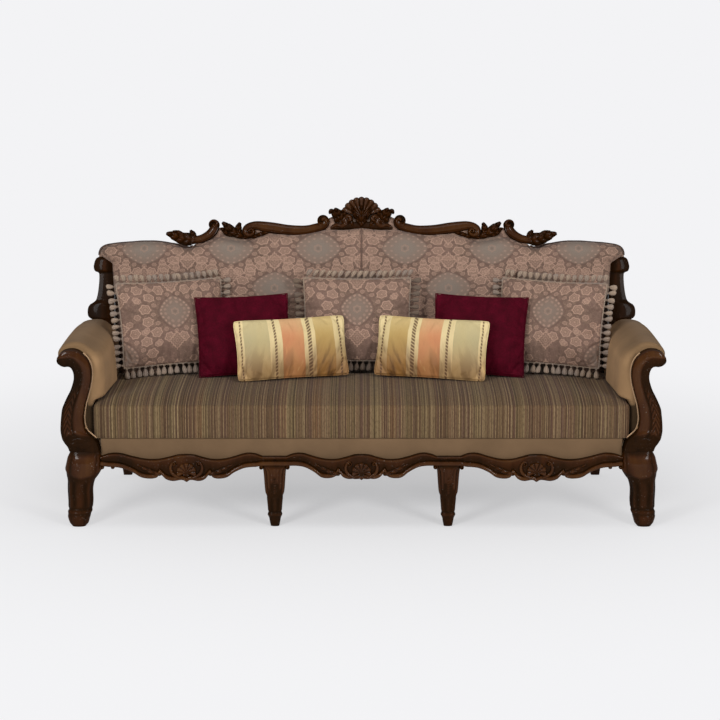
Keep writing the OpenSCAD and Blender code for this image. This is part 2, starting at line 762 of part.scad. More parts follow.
module back_cover() {
    ends = [
        [stile_x - gap, up(rail_z) + 14], [stile_x - gap, below(stile_top)], [board_end, below(board_low)]
    ];
    color(damask) on_back() translate([0, 0, -back_t - gap - cover_t]) linear_extrude(cover_t)
        polygon(concat(
            ends, reversed(board_line()), [for (p = board_line()) if (p[0] > 0) [-p[0], p[1]]],
            [for (p = reversed(ends)) [-p[0], p[1]]]
        ));
}

// Carved crest: ribbons of rounded section that follow a centre line of [x, drop, half-width]
function across_line(p, i) = let (
        a = p[max(i - 1, 0)], b = p[min(i + 1, len(p) - 1)],
        d = [b[0] - a[0], b[1] - a[1]], l = norm(d)
    )
    [d[1] / l, -d[0] / l];
function ribbon_ring(p, i, rise) = let (
        n = across_line(p, i), w = p[i][2], h = rise * min(1, 0.35 + w / 22),
        section = [
            [-1, crest_back], [-1, h * 0.3], [-0.62, h * 0.82], [0, h], [0.62, h * 0.82], [1, h * 0.3],
            [1, crest_back]
        ]
    )
    [for (q = section) [p[i][0] + n[0] * w * q[0], p[i][1] + n[1] * w * q[0], q[1]]];
module ribbon(line, rise = relief, n = 4) {
    p = curve([for (q = line) [q[0], below(q[1]), q[2]]], n);
    skin([for (i = [0:len(p) - 1]) ribbon_ring(p, i, rise)]);
}
// Scroll eye: a raised button on the end of a ribbon
module eye(x, drop, r) {
    translate([x, below(drop), 0]) cylinder(r1 = r, r2 = r * 0.7, h = relief + 5);
}
// What stands on the top rail is cut to lie in front of it and over its edge
module on_top_rail() {
    color(walnut) difference() {
        on_back() difference() {
            union() children();
            translate([0, 0, crest_back - 1]) linear_extrude(gap + 1 - crest_back) board_face(gap, 400);
        }
        crest_dowels_at() crest_pin(gap);
    }
}
module crest_shell() {
    on_top_rail() {
        translate([0, below(82), crest_back]) shell(82, 20, 72, 0, relief - crest_back);
        ribbon([[0, 90, 9], [0, 102, 12], [0, 112, 10], [0, 118, 6]], relief * 0.8);
    }
}
module right_crest_spray() {
    on_top_rail() {
        ribbon([
            [45, 75, 6], [44, 80, 12], [44, 90, 16], [49, 101, 15], [60, 107, 16], [76, 103, 19],
            [90, 90, 20], [100, 71, 16], [109, 58, 12], [118, 52, 6]
        ]);
        ribbon([[66, 112, 6], [86, 114, 10], [106, 105, 11], [114, 92, 8], [112, 80, 4]], relief * 0.7);
        eye(44, 90, 8);
    }
}
module left_crest_spray() mirrored() right_crest_spray();
module right_crest_rail() {
    on_top_rail() {
        ribbon([
            [150, 69, 8], [152, 75, 17], [155, 90, 22], [166, 106, 18], [186, 120, 15], [210, 127, 15],
            [240, 131, 16], [290, 130, 18], [345, 122, 20], [395, 116, 23], [428, 122, 24],
            [446, 136, 18], [450, 148, 7]
        ]);
        eye(155, 90, 12);
        eye(428, 124, 12);
    }
}
module left_crest_rail() mirrored() right_crest_rail();
module right_crest_sprig() {
    on_top_rail() {
        ribbon([[436, 160, 4], [462, 158, 9], [490, 149, 15], [514, 132, 18], [534, 114, 13], [548, 100, 4]]);
        ribbon([[482, 146, 12], [484, 126, 12], [482, 112, 7], [478, 102, 3]], relief * 0.85);
        ribbon([[506, 154, 8], [530, 144, 9], [544, 132, 7], [552, 124, 3]], relief * 0.7);
    }
}
module left_crest_sprig() mirrored() right_crest_sprig();
module right_crest_scroll() {
    on_top_rail() {
        ribbon([
            [584, 91, 7], [585, 96, 15], [587, 108, 19], [589, 128, 16], [600, 149, 16], [624, 165, 16],
            [656, 172, 17], [690, 163, 23], [720, 151, 22], [748, 141, 14], [774, 143, 4]
        ]);
        ribbon([[680, 166, 10], [690, 146, 11], [685, 132, 6], [676, 126, 3]], relief * 0.6);
        eye(587, 108, 10);
    }
}
module left_crest_scroll() mirrored() right_crest_scroll();

// Pillows. Each side is drawn in towards its middle, and the crown falls to the seam all round
pillow_in = 0.045;
// Power of the crown's curve: higher is fuller near the seam
pillow_full = 2.6;
function drawn_in(s) = 1 - pillow_in * (1 - s * s);
function pillow_edge(size, k, m) = let (
        side = floor(k / m), s = 2 * (k % m) / m - 1, w = size[0] / 2, h = size[1] / 2
    )
    side == 0 ? [w * drawn_in(s), s * h]
    : side == 1 ? [-s * w, h * drawn_in(s)]
    : side == 2 ? [-w * drawn_in(s), -s * h]
    : [s * w, -h * drawn_in(s)];
// Half thickness of a pillow at a point of its own plane, less than zero outside its seam
function pillow_at(size, u, v) = let (
        a = abs(u) / (size[0] / 2 * drawn_in(min(1, abs(2 * v / size[1])))),
        b = abs(v) / (size[1] / 2 * drawn_in(min(1, abs(2 * u / size[0]))))
    )
    max(a, b) > 1.0001 ? -1
    : size[2] / 2 * sqrt(max(0, (1 - pow(a, pillow_full)) * (1 - pow(b, pillow_full))));
pillow_rings = [0.15, 0.4, 0.62, 0.8, 0.93, 1];
function pillow_ring(size, t, side, m = 8) = [
    for (k = [0:4 * m - 1]) let (p = pillow_edge(size, k, m) * t)
        concat(p, [t == 1 ? 0 : side * pillow_at(size, p[0], p[1])])
];
module pillow_skin(size) {
    n = len(pillow_rings) - 1;
    skin(concat(
        [for (i = [0:n]) pillow_ring(size, pillow_rings[i], -1)],
        [for (i = [n - 1:-1:0]) pillow_ring(size, pillow_rings[i], 1)]
    ));
}
// A pose: [x, y, z, yaw, lean, roll]
function turn_z(p, a) = [p[0] * cos(a) - p[1] * sin(a), p[0] * sin(a) + p[1] * cos(a), p[2]];
function turn_x(p, a) = [p[0], p[1] * cos(a) - p[2] * sin(a), p[1] * sin(a) + p[2] * cos(a)];
function placed(p, s) = turn_z(turn_x(turn_z(p, s[5]), 90 - s[4]), s[3]) + [s[0], s[1], s[2]];
function unplaced(p, s) = turn_z(turn_x(turn_z(p - [s[0], s[1], s[2]], -s[3]), s[4] - 90), -s[5]);
// Points of a pillow that can touch what it rests on: its back and the tips of its fringe
function samples(size, reach) = concat(
    [for (t = pillow_rings) each pillow_ring(size, t, -1)],
    [
        for (p = pillow_ring(size, 1, -1))
            [p[0] * (1 + 2 * reach / size[0]), p[1] * (1 + 2 * reach / size[1]), 0]
    ]
);
// How far a pose must rise to clear the seat, come forward to clear the back and the pillows
// behind it, and move in to clear the arm
function lift(pts, s) = max([for (p = pts) let (q = placed(p, s)) seat_z(q[0], q[1]) + gap - q[2]]);
function back_gap(q) = back_front(q[2]) - (pad_t + gap) / lean_cos - q[1];
// A pillow lifts off up the back's slope, and those in front stay clear of its whole path
lift_off = 300;
lift_step = 100;
function path(s) = unplaced([s[0], s[1] + lean_sin, s[2] + lean_cos], s);
function push(pts, s, behind) = max(concat(
    [for (p = pts) -back_gap(placed(p, s))],
    [
        for (o = behind, t = [0:lift_step:lift_off], p = pts)
            let (
                q = unplaced(placed(p, s), o[1]) - t * path(o[1]),
                w = pillow_at(o[0], q[0], q[1])
            )
                if (w >= 0) (w + 3 * gap - q[2]) / (cos(o[1][3]) * cos(o[1][4]))
    ]
));
// Inside of the arm at a height, where it turns out into the roll
arm_turn = [[arm_height - 60, 0], [arm_height - 45, 10], [arm_height, 60]];
function arm_at(z) = half - arm_w - 1 + table(arm_turn, z);
function aside(pts, s) = max([for (p = pts) let (q = placed(p, s)) q[0] - arm_at(q[2])]);
function settle(pts, s, behind, n = 3) = n == 0 ? s : let (
        a = s - [max(0, aside(pts, s)), 0, 0, 0, 0, 0],
        b = a + [0, 0, lift(pts, a), 0, 0, 0],
        c = b - [0, push(pts, b, behind), 0, 0, 0, 0]
    )
    settle(pts, c, behind, n - 1);
fringed = [fringed_w, fringed_h, fringed_t];
velvet = [velvet_w, velvet_h, velvet_t];
striped = [striped_w, striped_h, striped_t];
fringed_pts = samples(fringed, tassel_l + 5);
velvet_pts = samples(velvet, 0);
striped_pts = samples(striped, 0);
// Starting poses: [x, y, z, yaw, lean, roll]; y and z are found by settling
// The middle pillow lies over the seam between the two back pads, and goes a little into it
seam_dip = 0.6;
centre_pose = settle(fringed_pts, [-17, 500, 680, 0, 16, 0], []) + [0, seam_dip, 0, 0, 0, 0];
side_pose = settle(fringed_pts, [half - 366, 440, 680, -20, 18, 0], []);
velvet_pose = settle(
    velvet_pts, [453, 400, 640, -9, 21, -1], [[fringed, side_pose], [fringed, centre_pose]]
);
striped_pose = settle(
    striped_pts, [268, 340, 600, -12, 23, -1], [[velvet, velvet_pose], [fringed, centre_pose]]
);
module pose(s) {
    translate([s[0], s[1], s[2]]) rotate([90 - s[4], 0, s[3]]) rotate([0, 0, s[5]]) children();
}
// Fringe: tassels hung from the seam, a turned head over a flared skirt
module tassel() {
    rotate([-90, 0, 0]) rotate_extrude($fn = 24)
        polygon([
            [0, 0], [2.5, 0], [5, 3], [5, 7], [3.4, 10], [6, 16], [7.5, tassel_l - 2], [6, tassel_l],
            [0, tassel_l]
        ]);
}
module fringe(size) {
    for (side = [0:3]) {
        long = side % 2 == 1;
        w = long ? size[0] : size[1];
        h = long ? size[1] : size[0];
        n = floor(w / tassel_pitch);
        for (i = [0:n - 1]) {
            s = (2 * i + 1) / n - 1;
            rotate([0, 0, side * 90 - 90]) translate([s * w / 2, drawn_in(s) * h / 2 + gap, 0]) tassel();
        }
    }
}
module centre_fringed_pillow() color(damask) pose(centre_pose) pillow_skin(fringed);
module right_fringed_pillow() color(damask) pose(side_pose) pillow_skin(fringed);
module left_fringed_pillow() mirrored() right_fringed_pillow();
module centre_fringe() color(yarn) pose(centre_pose) fringe(fringed);
module right_fringe() color(yarn) pose(side_pose) fringe(fringed);
module left_fringe() mirrored() right_fringe();
module right_velvet_pillow() color(wine) pose(velvet_pose) pillow_skin(velvet);
module left_velvet_pillow() mirrored() right_velvet_pillow();
module right_striped_pillow() color(silk) pose(striped_pose) pillow_skin(striped);
module left_striped_pillow() mirrored() right_striped_pillow();

// Cloth under the seat frame and the dowels
lining_t = 1;
lining_in = 8;
module dust_cover() {
    y0 = rail_y + rail_t;
    color(black_cloth) translate([-leg_in + lining_in, y0, rail_z - gap - lining_t])
        cube([2 * (leg_in - lining_in), back_front(rail_z) - lining_in / 2 - y0, lining_t]);
}
module dowels() {
    color(beech) {
        rail_dowels_at() dowel();
        back_leg_dowels_at() dowel();
        crest_dowels_at() crest_pin(0);
        for (s = [0, 1]) mirror([s, 0, 0]) {
            facing_dowel_at() dowel();
            arm_dowels_at() dowel();
            translate([middle_leg_x, rail_y + rail_t / 2, rail_z]) dowel();
        }
    }
}

// Everything is drawn from the front plane and set down about the middle of its depth
module set_down() {
    translate([0, -overall_depth / 2, 0]) children();
}
set_down() front_seat_rail();
set_down() back_seat_rail();
set_down() left_side_rail();
set_down() right_side_rail();
set_down() left_seat_brace();
set_down() right_seat_brace();
set_down() corner_blocks();
set_down() left_back_stile();
set_down() right_back_stile();
set_down() back_top_rail();
set_down() left_back_upright();
set_down() centre_back_upright();
set_down() right_back_upright();
set_down() seat_springs();
set_down() spring_clips();
set_down() seat_deck();
set_down() seat_cushion();
set_down() front_rail_pad();
set_down() left_arm_frame();
set_down() right_arm_frame();
set_down() left_arm_pad();
set_down() right_arm_pad();
set_down() left_arm_outer_panel();
set_down() right_arm_outer_panel();
set_down() left_arm_facing();
set_down() right_arm_facing();
set_down() left_front_leg();
set_down() right_front_leg();
set_down() left_middle_leg();
set_down() right_middle_leg();
set_down() left_back_leg();
set_down() right_back_leg();
set_down() left_apron();
set_down() centre_apron();
set_down() right_apron();
set_down() left_back_pad();
set_down() right_back_pad();
set_down() back_cover();
set_down() crest_shell();
set_down() left_crest_spray();
set_down() right_crest_spray();
set_down() left_crest_rail();
set_down() right_crest_rail();
set_down() left_crest_sprig();
set_down() right_crest_sprig();
set_down() left_crest_scroll();
set_down() right_crest_scroll();
set_down() left_fringed_pillow();
set_down() centre_fringed_pillow();
set_down() right_fringed_pillow();
set_down() left_fringe();
set_down() centre_fringe();
set_down() right_fringe();
set_down() left_velvet_pillow();
set_down() right_velvet_pillow();
set_down() left_striped_pillow();
set_down() right_striped_pillow();
set_down() foot_glides();
set_down() dust_cover();
set_down() dowels();
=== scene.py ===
"""Dresses a packed rolled arm sofa: carved walnut, upholstery, loose pillows and a pale studio."""

import json
import math

import bmesh
import bpy
import numpy as np
from bpy.props import FloatProperty, FloatVectorProperty, IntProperty, PointerProperty
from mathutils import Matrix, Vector


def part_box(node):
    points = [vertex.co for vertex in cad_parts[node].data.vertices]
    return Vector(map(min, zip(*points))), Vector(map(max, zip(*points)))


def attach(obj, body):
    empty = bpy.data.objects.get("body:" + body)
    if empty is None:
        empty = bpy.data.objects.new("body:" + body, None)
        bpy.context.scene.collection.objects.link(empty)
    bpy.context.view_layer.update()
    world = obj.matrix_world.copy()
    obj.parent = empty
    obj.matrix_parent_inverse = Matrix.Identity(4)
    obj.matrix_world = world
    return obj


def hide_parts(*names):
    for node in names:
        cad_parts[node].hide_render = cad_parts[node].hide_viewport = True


bl_info = {
    "name": "Rolled arm sofa",
    "version": (1, 0, 0),
    "blender": (4, 5, 0),
    "location": "View3D > Sidebar > Sofa",
    "description": "Carved walnut, upholstery and pillows for a three-seat rolled arm sofa",
    "category": "Object",
}

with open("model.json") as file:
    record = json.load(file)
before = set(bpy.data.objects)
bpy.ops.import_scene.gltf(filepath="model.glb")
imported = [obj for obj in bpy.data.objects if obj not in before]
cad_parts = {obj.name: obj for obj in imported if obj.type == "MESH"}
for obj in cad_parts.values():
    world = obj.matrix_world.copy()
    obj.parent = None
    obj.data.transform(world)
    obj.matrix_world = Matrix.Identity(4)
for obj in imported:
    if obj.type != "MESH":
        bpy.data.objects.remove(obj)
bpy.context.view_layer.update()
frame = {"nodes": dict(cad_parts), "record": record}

# The solids' own stations, in millimetres: x from the middle, y back from the front plane, z up
HALF = 1100.0
DEPTH = 850.0
LEAN = math.radians(12)
SIN, COS = math.sin(LEAN), math.cos(LEAN)
CREST_S = 1140.5
BACK_Y = 577.42
RAIL_Z = 232.0
RAIL_TOP = 330.0
ARM_H = 684.0
GAP = 0.3
LEG_IN = HALF - 145
LEG_TOP = 287.0
FACING_BACK, FACING_T = 57.0, 45.0
FACING_FRONT = FACING_BACK - GAP - FACING_T
BOARD_BACK = -45.0


def paint(red, green, blue):
    """A display colour from 0 to 255 as a linear one."""
    share = np.array([red, green, blue]) / 255.0
    linear = np.where(share <= 0.04045, share / 12.92, ((share + 0.055) / 1.055) ** 2.4)
    return tuple(float(v) for v in linear)


# Shapes: arrays of points in millimetres, gathered into one mesh


def row(p):
    """Millimetres from the front plane to metres about the middle of the depth."""
    return (np.asarray(p, float) - [0, DEPTH / 2, 0]) * 0.001


def on_back(x, drop, out):
    """A point by its place across, its drop below the crest and its stand off the leaning back plane."""
    s = CREST_S - drop
    x, s, out = np.broadcast_arrays(np.asarray(x, float), s, out)
    return np.stack([x, BACK_Y + s * SIN - out * COS, s * COS + out * SIN], -1)


def back_front(z):
    """Where the back plane is at a height."""
    return BACK_Y + z * SIN / COS


def run_along(points):
    """Distance along a line of points, from nought at its start."""
    return np.concatenate([[0], np.cumsum(np.linalg.norm(np.diff(points, axis=0), axis=1))])


def heading(points):
    """Unit directions along a line of points."""
    t = np.gradient(points, axis=0)
    return t / np.linalg.norm(t, axis=1)[:, None]


def dense(points):
    """A cubic through the points, sixteen steps to each span."""
    p = np.asarray(points, float)
    q = np.vstack([2 * p[0] - p[1], p, 2 * p[-1] - p[-2]])
    k = len(q) - 3
    t = np.linspace(0, 1, 16, endpoint=False)[None, :, None]
    a, b, c, d = (q[i : i + k, None, :] for i in range(4))
    s = b + 0.5 * t * (c - a + t * (2 * a - 5 * b + 4 * c - d + t * (3 * (b - c) + d - a)))
    return np.vstack([s.reshape(-1, p.shape[1]), q[k + 1 : k + 2]])


def smooth(points, n):
    """The same cubic in n points, spaced evenly by its first two columns."""
    s = dense(points)
    run = run_along(s[:, :2])
    return np.stack([np.interp(np.linspace(0, run[-1], n), run, column) for column in s.T], -1)


def lookup(table, at):
    """Rows of a table, read off its cubic at values of the first column."""
    s = dense(table)
    return np.stack([np.interp(at, s[:, 0], column) for column in s.T[1:]], -1)


def ease(low, high, v):
    """0 below low, 1 above high and smooth between; low may be the larger."""
    t = np.clip((v - low) / (high - low), 0, 1)
    return t * t * (3 - 2 * t)


def hump(v, middle, width):
    """A bell: 1 at the middle and near nought two widths away."""
    return np.exp(-(((v - middle) / width) ** 2))


def arch(v, middle, half):
    """Half a wave: 1 at the middle and nought from half a width away."""
    return np.cos(np.clip((v - middle) / half, -1, 1) * np.pi / 2)


def quarter(v):
    """A quarter round: it leaves 0 upright and comes level at 1."""
    return np.sqrt(np.clip(1 - (1 - np.clip(v, 0, 1)) ** 2, 0, 1))


def squared(v, power):
    """A sine or cosine pushed towards its ends, so that a circle nears a square."""
    return np.sign(v) * np.abs(v) ** power


def crowded(n):
    """n values from 0 to 1, closest at both ends."""
    return 0.5 - 0.5 * np.cos(np.pi * np.linspace(0, 1, n))


def ripple(x, y, seed, waves=7):
    """A soft uneven field from -1 to 1: sines that run in directions fixed by the seed."""
    rng = np.random.default_rng(seed)
    total = np.zeros(np.broadcast(x, y).shape)
    for _ in range(waves):
        angle, size, shift = rng.uniform(0, np.pi), rng.uniform(0.6, 2.2), rng.uniform(0, 6.3)
        total = total + np.sin(size * (np.cos(angle) * x + np.sin(angle) * y) + shift)
    return total / waves


class Shape:
    """Grids of points joined into one mesh, with a level at each point and its place on the cloth. The level is
    how raised the point is; on the arm pads, tassels and carving it also carries painted light and shade.
    """

    def __init__(self):
        self.points, self.quads, self.fans, self.relief, self.cloth = [], [], [], [], []
        self.count = 0

    def grid(self, p, ring=False, ends=False, relief=0.6, cloth=None, flip=False):
        """Adds rows of points. A ring joins each row's last point to its first, and ends closes
        the first and last rows on their middles. A closed grid is turned to face outwards."""
        rows, cols = p.shape[:2]
        index = self.count + np.arange(rows * cols).reshape(rows, cols)
        a, b = index, np.roll(index, -1, axis=1)
        if not ring:
            a, b = a[:, :-1], b[:, :-1]
        quads = np.stack([a[:-1], b[:-1], b[1:], a[1:]], -1).reshape(-1, 4)
        points = p.reshape(-1, 3)
        level = np.broadcast_to(np.asarray(relief, float), (rows, cols)).reshape(-1)
        place = np.zeros((rows * cols, 3)) if cloth is None else cloth.reshape(-1, 3)
        fans = np.zeros((0, 3), int)
        if ends:
            pole = self.count + rows * cols
            first, last = index[0], index[-1]
            fans = np.vstack([
                np.stack([np.full(cols, pole), np.roll(first, -1), first], -1),
                np.stack([np.full(cols, pole + 1), last, np.roll(last, -1)], -1),
            ])
            points = np.vstack([points, p[0].mean(0), p[-1].mean(0)])
            level = np.append(level, [level[:cols].mean(), level[-cols:].mean()])
            place = np.vstack([place, place[:cols].mean(0), place[-cols:].mean(0)])
            local = points - points.mean(0)
            tris = np.vstack([quads[:, [0, 1, 2]], quads[:, [0, 2, 3]], fans]) - self.count
            volume = np.einsum("ij,ij->", local[tris[:, 0]], np.cross(local[tris[:, 1]], local[tris[:, 2]]))
            flip = volume < 0
        if flip:
            quads, fans = quads[:, ::-1], fans[:, ::-1]
        self.points.append(points)
        self.relief.append(level)
        self.cloth.append(place)
        self.quads.append(quads)
        self.fans.append(fans)
        self.count += len(points)
        return self

    def mesh(self, points, quads, relief=0.6, cloth=None):
        """Adds a ready mesh of quads."""
        self.points.append(points)
        self.quads.append(quads + self.count)
        self.fans.append(np.zeros((0, 3), int))
        self.relief.append(np.full(len(points), float(relief)))
        self.cloth.append(np.zeros((len(points), 3)) if cloth is None else cloth)
        self.count += len(points)
        return self

    def build(self, name, material, body, slot, replaces=(), side=1, weld=False, angle=40):
        """The mesh object, on its body, with its material. side -1 makes it for the other end."""
        points = row(np.vstack(self.points)) * [side, 1, 1]
        faces = np.vstack(self.quads)[:, ::side].tolist() + np.vstack(self.fans)[:, ::side].tolist()
        data = bpy.data.meshes.new(name)
        data.from_pydata(points.tolist(), [], faces)
        data.attributes.new("relief", "FLOAT", "POINT").data.foreach_set("value", np.concatenate(self.relief))
        data.attributes.new("cloth", "FLOAT_VECTOR", "POINT").data.foreach_set(
            "vector", np.vstack(self.cloth).astype(np.float32).ravel()
        )
        if weld:
            work = bmesh.new()
            work.from_mesh(data)
            bmesh.ops.remove_doubles(work, verts=work.verts, dist=1e-5)
            bmesh.ops.recalc_face_normals(work, faces=work.faces)
            work.to_mesh(data)
            work.free()
        data.shade_smooth()
        data.set_sharp_from_angle(angle=math.radians(angle))
        data.materials.append(material)
        piece = bpy.data.objects.new(name, data)
        bpy.context.scene.collection.objects.link(piece)
        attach(piece, body)
        if replaces:
            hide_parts(*replaces)
        return piece


def sides(shape, name, material, slot, node=None, **more):
    """The same piece of the frame at both ends; {} in a name takes the side's word."""
    made = []
    for word, side in (("right", 1), ("left", -1)):
        nodes = [node.format(word)] if node else ()
        made.append(shape.build(name.format(word), material, "sofa_frame", slot, nodes, side=side, **more))
    return made


def carved_sides(shape, node, ending="carved"):
    """A walnut piece at both ends, in place of the node of its own name."""
    sides(shape, f"{node}_{ending}", walnut(), "walnut", node)


def tube(shape, path, radius, up, closed=False, strands=0, twist=0.0, around=10, relief=0.6):
    """A round cord along a path: rings square to it. Strands swell its section and turn along it."""
    p = np.asarray(path, float)
    t = np.roll(p, -1, 0) - np.roll(p, 1, 0) if closed else np.gradient(p, axis=0)
    t /= np.linalg.norm(t, axis=1)[:, None]
    n = np.cross(t, np.asarray(up, float))
    n /= np.linalg.norm(n, axis=1)[:, None]
    b = np.cross(n, t)
    run = run_along(p)[:, None]
    a = np.linspace(0, 2 * np.pi, around, endpoint=False)[None]
    swell = 1 + (0.16 * np.cos(strands * a - twist * run) if strands else 0 * a)
    r = (radius * swell)[:, :, None]
    q = p[:, None] + r * (np.cos(a)[..., None] * n[:, None] + np.sin(a)[..., None] * b[:, None])
    if closed:
        return shape.grid(np.vstack([q, q[:1]]), ring=True, relief=relief)
    return shape.grid(q, ring=True, ends=True, relief=relief)


# Carving tools


def lobed(u, across, lobes):
    """How high an acanthus leaf stands in its own box, u from stalk to tip and across from -1 to 1.
    Its edge draws in between the lobes, each lobe has a vein, and a rib runs up the middle."""
    a = np.abs(across)
    phase = u * lobes - 0.5 * a
    notch = np.abs(np.cos(np.pi * phase)) ** 3
    width = np.sin(np.pi * np.clip(u, 0, 1) ** 0.8) ** 0.55 * (1 - 0.34 * notch)
    inside = ease(0, 0.16, width - a)
    swell = 0.55 + 0.45 * np.abs(np.sin(np.pi * phase)) ** 0.7
    rib = 0.3 * hump(a, 0, 0.09)
    return inside * (0.72 * swell * (1 - 0.4 * a) + rib)


def beside(c, across, ahead=0.0):
    """Points beside a line of (x, z, ...), so far across it and so far ahead."""
    t = heading(c[:, :2])
    return (
        c[:, :1] - t[:, 1:] * across + t[:, :1] * ahead,
        c[:, 1:2] + t[:, :1] * across + t[:, 1:] * ahead,
    )


def carve(shape, place, x, z, out, level, back, wall_level=0.0):
    """Adds a carved face, from its points across and up, how far each stands out and how raised it
    is, with straight walls down to its flat back."""
    rims, wall = np.ones((len(x), 2)), [-1, 0]
    x, z = (np.concatenate([v, v[:, wall]], 1) for v in (x, z))
    out = np.concatenate([out, rims * back], 1)
    level = np.concatenate([level, rims * wall_level], 1)
    return shape.grid(place(x, z, out), ring=True, ends=True, relief=level)


def carved_band(shape, place, path, back, n=110, shine=0.92):
    """A scrolled band: a rounded face with a raised fillet along each edge. The last argument sets how
    strongly a painted highlight lightens its middle, which also takes more gloss."""
    s = np.linspace(-1, 1, 19)[None]
    c = smooth(path, n)
    x, z = beside(c, c[:, 2:3] * s)
    a = np.abs(s)
    face = 0.5 + 0.5 * arch(a, 0, 1) ** 0.7
    fillet = 0.06 * hump(a, 0.84, 0.09) - 0.07 * hump(a, 0.62, 0.1)
    out = c[:, 3:4] * (face + fillet) * np.where(a > 0.97, 0.9, 1)
    level = shine * np.clip(0.1 + 0.95 * (1 - a**2.5), 0, 1) + 0 * x
    carve(shape, place, x, z, out, level, back)


def carved_leaf(shape, place, path, back, lobes=4, n=96):
    """An acanthus leaf on a path of (x, z, half-width, height). Its edge points reach towards the
    tip and fall back at each notch, a vein runs up each lobe and the tip rolls forward."""
    s = np.linspace(-1, 1, 21)[None]
    u = np.linspace(0, 1, n)[:, None]
    phase = u * lobes
    part = phase % 1.0
    a = np.abs(s)
    notch = 1 - 0.42 * np.clip(1 - np.minimum(part, 1 - part) / 0.2, 0, 1) ** 1.3
    c = smooth(path, n)
    x, z = beside(c, c[:, 2:3] * notch * s, 0.55 * c[:, 2:3] * a**1.6 * part**1.5)
    vein = np.abs(np.sin(np.pi * (phase - 0.5 * a)))
    height = (0.66 + 0.34 * vein**0.8) * (1 - 0.38 * a**2) + 0.22 * hump(a, 0, 0.1)
    roll = 1 + 0.35 * ease(0.75, 0.95, u) - 0.5 * ease(0.93, 1, u)
    level = np.clip(1.5 * (height - 0.52), 0, 1)
    carve(shape, place, x, z, c[:, 3:4] * height * roll, level, back)


def volute(shape, place, x, z, radius, back, height, turns=1.6, hand=1):
    """A scroll's eye: a disc whose face is a spiral ridge that rises to a button."""
    r = np.concatenate([[1, 1], np.linspace(0.985, 0.05, 16)])[:, None]
    a = np.linspace(0, 2 * np.pi, 48, endpoint=False)[None]
    wave = np.cos(2 * np.pi * (r * turns - hand * a / (2 * np.pi)))
    button = hump(r, 0, 0.24)
    rise = 0.74 + 0.16 * wave * ease(0.12, 0.4, r) + 0.2 * button + 0.1 * (1 - r)
    out = back + (height - back) * rise * np.where(r > 0.99, 0.86, 1)
    out[0] = back
    relief = np.clip(0.5 + 0.5 * wave, 0, 1) + 0.4 * button
    px, pz = x + radius * r * np.cos(a), z + radius * r * np.sin(a)
    shape.grid(place(px, pz, out), ring=True, ends=True, relief=np.clip(relief, 0, 1))


def scallop(shape, place, x, z, radius, stem, spread, ribs, back, height, up=1, groove=0.45):
    """A fan shell: loops about its root. Its ribs swell the rim a little and stand between grooves."""
    a = np.linspace(-np.pi, np.pi, 216, endpoint=False)[None]
    phase = a / (2 * spread) * ribs
    rib = np.abs(np.cos(np.pi * phase)) ** 0.6
    fan = ease(spread + 0.06, spread - 0.06, np.abs(a))
    reach = fan * radius * (0.93 + 0.07 * rib) + (1 - fan) * stem
    t = np.array([1, 1, 0.985, 0.95, 0.9, 0.84, 0.76, 0.66, 0.55, 0.43, 0.31, 0.2, 0.1])[:, None]
    bowl = np.array([0, 0.5, 0.78, 0.95, 1, 0.97, 0.9, 0.82, 0.76, 0.74, 0.78, 0.84, 0.88])[:, None]
    deep = groove * np.array([0, 0, 0.1, 0.3, 0.4, 0.42, 0.42, 0.42, 0.4, 0.34, 0.25, 0.12, 0])[:, None]
    face = bowl * (1 - fan * deep * (1 - rib))
    out = back + (height - back) * face
    ridge = np.clip(fan * (0.32 + 0.85 * rib**2) * (0.5 + 0.55 * t) + (1 - fan) * 0.4, 0, 1)
    px, pz = x - reach * t * np.sin(a), z + up * reach * t * np.cos(a)
    shape.grid(place(px, pz, out), ring=True, ends=True, relief=ridge)


# Materials: arithmetic on sockets


class Wire:
    """A socket in Python arithmetic: each operator adds one Math node."""

    def __init__(self, shade, socket):
        self.shade, self.socket = shade, socket

    def math(self, operation, *others):
        return self.shade.math(operation, self, *others)

    def __add__(self, other):
        return self.math("ADD", other)

    def __sub__(self, other):
        return self.math("SUBTRACT", other)

    def __mul__(self, other):
        return self.math("MULTIPLY", other)

    def __truediv__(self, other):
        return self.math("DIVIDE", other)

    def __pow__(self, other):
        return self.math("POWER", other)

    def __rsub__(self, other):
        return self.shade.math("SUBTRACT", other, self)

    def __abs__(self):
        return self.math("ABSOLUTE")

    __radd__, __rmul__ = __add__, __mul__

    def ease(self, low, high):
        """0 at low and 1 at high, smooth between."""
        return self.shade.node(
            "ShaderNodeMapRange", {"interpolation_type": "SMOOTHSTEP"},
            {"Value": self, "From Min": low, "From Max": high},
        )


